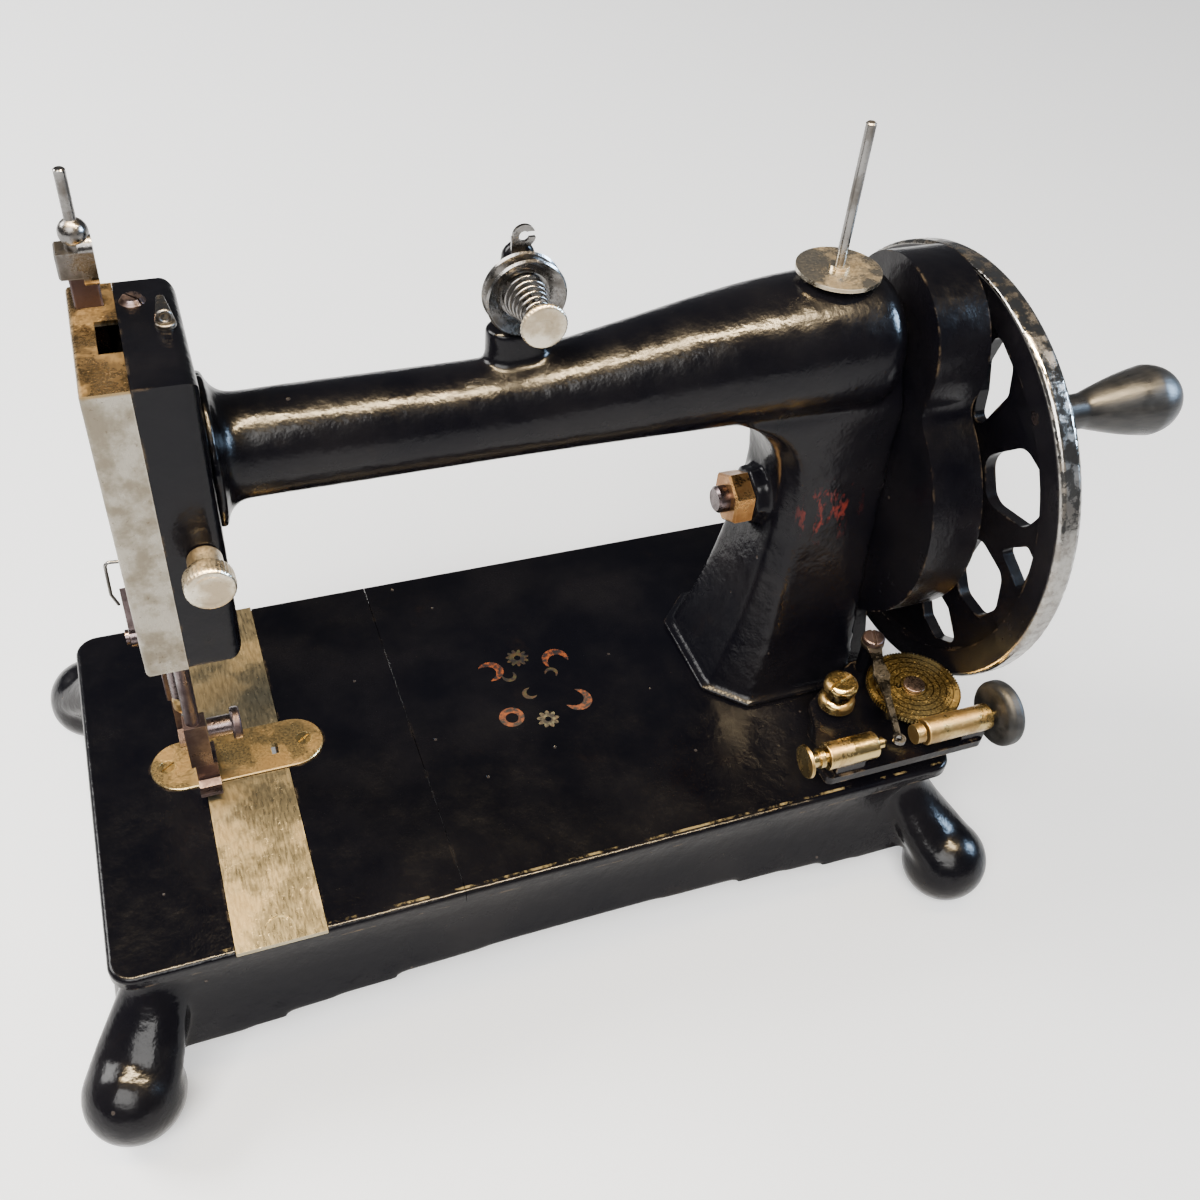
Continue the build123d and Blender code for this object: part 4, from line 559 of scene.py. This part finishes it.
def lathe(profile, origin, along, around=96, knurls=0, depth=0.0, knurl_from=0.0):
    """Points at origin + s * along + r * (cos, sin): the profile's (s, r) carried round the axis.
    Where r is beyond knurl_from, r also ripples by depth * cos(knurls * angle)."""
    along = np.array(along, float)
    side = np.cross(along, (0.0, 0.0, 1.0) if abs(along[2]) < 0.5 else (1.0, 0.0, 0.0))
    side /= np.linalg.norm(side)
    other = np.cross(along, side)
    angle = np.linspace(0, 2 * math.pi, around, endpoint=False)
    s, r = profile[:, 0, None], profile[:, 1, None]
    ripple = depth * np.cos(knurls * angle)[None, :] * (r >= knurl_from)
    radius = np.maximum(r + ripple - depth * (r >= knurl_from), 1e-6)
    return (np.array(origin) + s[..., None] * along + (radius * np.cos(angle))[..., None] * side
            + (radius * np.sin(angle))[..., None] * other)


def round_box(node):
    """The low corner, the middle and the radius of a round node's box, with its axis level."""
    low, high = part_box(node)
    return low, (low + high) / 2, (high.z - low.z) / 2


MM = 0.001
knob_low, knob_mid, knob_reach = round_box("face_knob")
knob_profile = [(0, 0.0), (0.4 * MM, 5.2 * MM), (0, 6.4 * MM), (0, knob_reach - 0.9 * MM),
                (1.0 * MM, knob_reach), (7.0 * MM, knob_reach), (7.8 * MM, knob_reach - 1.0 * MM),
                (8.4 * MM, knob_reach - 3.0 * MM), (16.8 * MM, knob_reach - 2.7 * MM),
                (17.1 * MM, knob_reach - 3.4 * MM), (17.1 * MM, 0.0)]
knob_rings = lathe(rounded(knob_profile), (knob_mid.x, knob_low.y, knob_mid.z), (0, 1, 0), 144, 36,
                   0.09 * MM, knob_reach - 0.3 * MM)
add_piece("turned_face_knob", ring_mesh("turned_face_knob", knob_rings), "face_knob")

grip_low, grip_mid, grip_fat = round_box("crank_grip")
grip_long = 2 * (grip_mid.x - grip_low.x)
along = np.linspace(0, 1, 60)
neck_share, swell_from, swell_long, round_from = 0.50, 0.16, 0.56, 0.70
rise = np.clip((along - swell_from) / swell_long, 0, 1)
neck = neck_share + (1 - neck_share) * rise ** 1.15 * (1.6 - 0.6 * rise)
tail = np.sqrt(np.clip(1 - np.clip((along - round_from) / (1 - round_from), 0, 1) ** 2.1, 0, 1))
grip_radius = grip_fat * neck * tail
grip_profile = np.vstack([[0, 0], np.column_stack([along * grip_long, grip_radius])])
grip_rings = lathe(grip_profile, (grip_low.x, grip_mid.y, grip_mid.z), (1, 0, 0), 72)
add_piece("turned_grip", ring_mesh("turned_grip", grip_rings), "crank_grip")

nut_low, nut_mid, nut_reach = round_box("tension_nut")
nut_profile = [(-0.1 * MM, 2.9 * MM), (0, 3.2 * MM), (0, nut_reach - 0.9 * MM), (0.7 * MM, nut_reach),
               (1.9 * MM, nut_reach),
               (2.5 * MM, nut_reach - 0.9 * MM), (3.2 * MM, 4.7 * MM), (5.2 * MM, 4.2 * MM),
               (5.2 * MM, 2.9 * MM)]
nut_rings = lathe(rounded(nut_profile), (nut_mid.x, nut_low.y, nut_mid.z), (0, 1, 0), 144, 36, 0.12 * MM,
                  nut_reach - 0.3 * MM)
add_piece("turned_tension_nut", ring_mesh("turned_tension_nut", nut_rings), "tension_nut")
print("turned pieces: knob, grip and nut")

# %% [markdown]
# ## Painted flowers on the bed
# A small wreath was laid on the varnish in the middle of the bed: crescents and a ring in orange, and two
# pale daisies, all rubbed half away. Each is a thin flat shape a few hundredths of a millimetre proud of the
# bed, given by two parameters: the angle, and the way from an inner outline to an outer one. Their
# finish fades to the black below in clouds, as real transfers wear.

# %% the wreath
look = finished("wreath_paint")
rubbed_off = look.span(look.noise(0.0032, 5, 0.7), 0.38, 0.60)
shade = look.noise(0.0016, 3)
attribute = look.tree.nodes.new("ShaderNodeAttribute")
attribute.attribute_name = "paint"
paint = look.mix(look.span(shade, 0.3, 0.7, 0.0, 0.7), attribute.outputs["Color"], (0.10, 0.022, 0.006))
look.set(Base_Color=look.mix(rubbed_off, paint, (0.009, 0.0075, 0.0085)), Roughness=0.4)

orange, cream, olive = (0.25, 0.055, 0.010, 1), (0.15, 0.130, 0.060, 1), (0.040, 0.038, 0.012, 1)
wreath_beside_seam, wreath_behind_middle, paint_proud = 0.0612, 0.0060, 0.00004
wreath_middle = ((left_high.x + bed_low.x) / 2 + wreath_beside_seam, wreath_behind_middle)
wreath_z = bed_high.z + paint_proud


def band(inner, outer, start, end, middle, steps=64, layers=4):
    """Points between an inner and an outer outline, each a radius for every angle from start to end."""
    angle = np.radians(np.linspace(start, end, steps))
    share = np.linspace(0, 1, layers)[:, None]
    radius = inner(angle) * (1 - share) + outer(angle) * share
    x = middle[0] + radius * np.cos(angle)
    y = middle[1] + radius * np.sin(angle)
    return np.stack([x, y, np.full_like(x, wreath_z)], axis=-1)


def flat_shape(points, tint):
    """Vertices, faces and tints of a grid of points."""
    rows, columns = points.shape[:2]
    ids = np.arange(rows * columns).reshape(rows, columns)
    quads = np.stack([ids[:-1, :-1], ids[1:, :-1], ids[1:, 1:], ids[:-1, 1:]], axis=-1).reshape(-1, 4)
    return points.reshape(-1, 3), quads, np.tile(tint, (rows * columns, 1))


def crescent(middle, radius, facing):
    """A moon: its thickness swells from nothing at both tips to the full width half way round."""
    def inner(angle):
        way = np.clip((angle - angle.min()) / np.ptp(angle), 0, 1)
        return radius * (1 - 0.62 * np.sin(way * math.pi) ** 0.6)

    return band(inner, lambda angle: radius + 0 * angle, facing - 125, facing + 125, middle)


def daisy(middle, radius, petals=9):
    """A flower: the outer outline swings out and in once for every petal."""
    def outer(angle):
        return radius * (0.62 + 0.38 * np.abs(np.cos(petals * angle / 2)))

    return band(lambda angle: 0.28 * radius + 0 * angle, outer, 0, 360, middle, 181)


wx, wy = wreath_middle
shapes = [(crescent((wx - 16.6 * MM, wy + 14.5 * MM), 6.2 * MM, 20), orange),
          (crescent((wx + 15.7 * MM, wy + 14.2 * MM), 6.4 * MM, 100), orange),
          (crescent((wx + 17.5 * MM, wy - 14.0 * MM), 6.6 * MM, -40), orange),
          (band(lambda a: 3.0 * MM + 0 * a, lambda a: (5.8 + 0.5 * np.sin(a)) * MM, 0, 360,
                (wx - 15.5 * MM, wy - 16.3 * MM)), orange),
          (daisy((wx + 0.2 * MM, wy - 21.6 * MM), 5.2 * MM), cream),
          (daisy((wx - 1.7 * MM, wy + 19.7 * MM), 5.6 * MM, 11), olive),
          (crescent((wx - 9.0 * MM, wy + 9.0 * MM), 3.4 * MM, -80), olive),
          (crescent((wx + 11.0 * MM, wy + 6.0 * MM), 3.2 * MM, 60), olive),
          (crescent((wx - 3.0 * MM, wy - 4.0 * MM), 3.6 * MM, 200), olive)]
all_points, all_quads, all_tints, offset = [], [], [], 0
for grid, tint in shapes:
    points, quads, tints = flat_shape(grid, tint)
    all_points.append(points)
    all_quads.append(quads + offset)
    all_tints.append(tints)
    offset += len(points)
wreath_mesh = bpy.data.meshes.new("wreath")
wreath_mesh.from_pydata(np.vstack(all_points).tolist(), [], np.vstack(all_quads).tolist())
layer = wreath_mesh.color_attributes.new("paint", "FLOAT_COLOR", "POINT")
layer.data.foreach_set("color", np.vstack(all_tints).astype(np.float32).ravel())
add_piece("painted_wreath", wreath_mesh, "bed_plate", "wreath_paint", stands_for=False)
print("wreath of", len(shapes), "shapes")
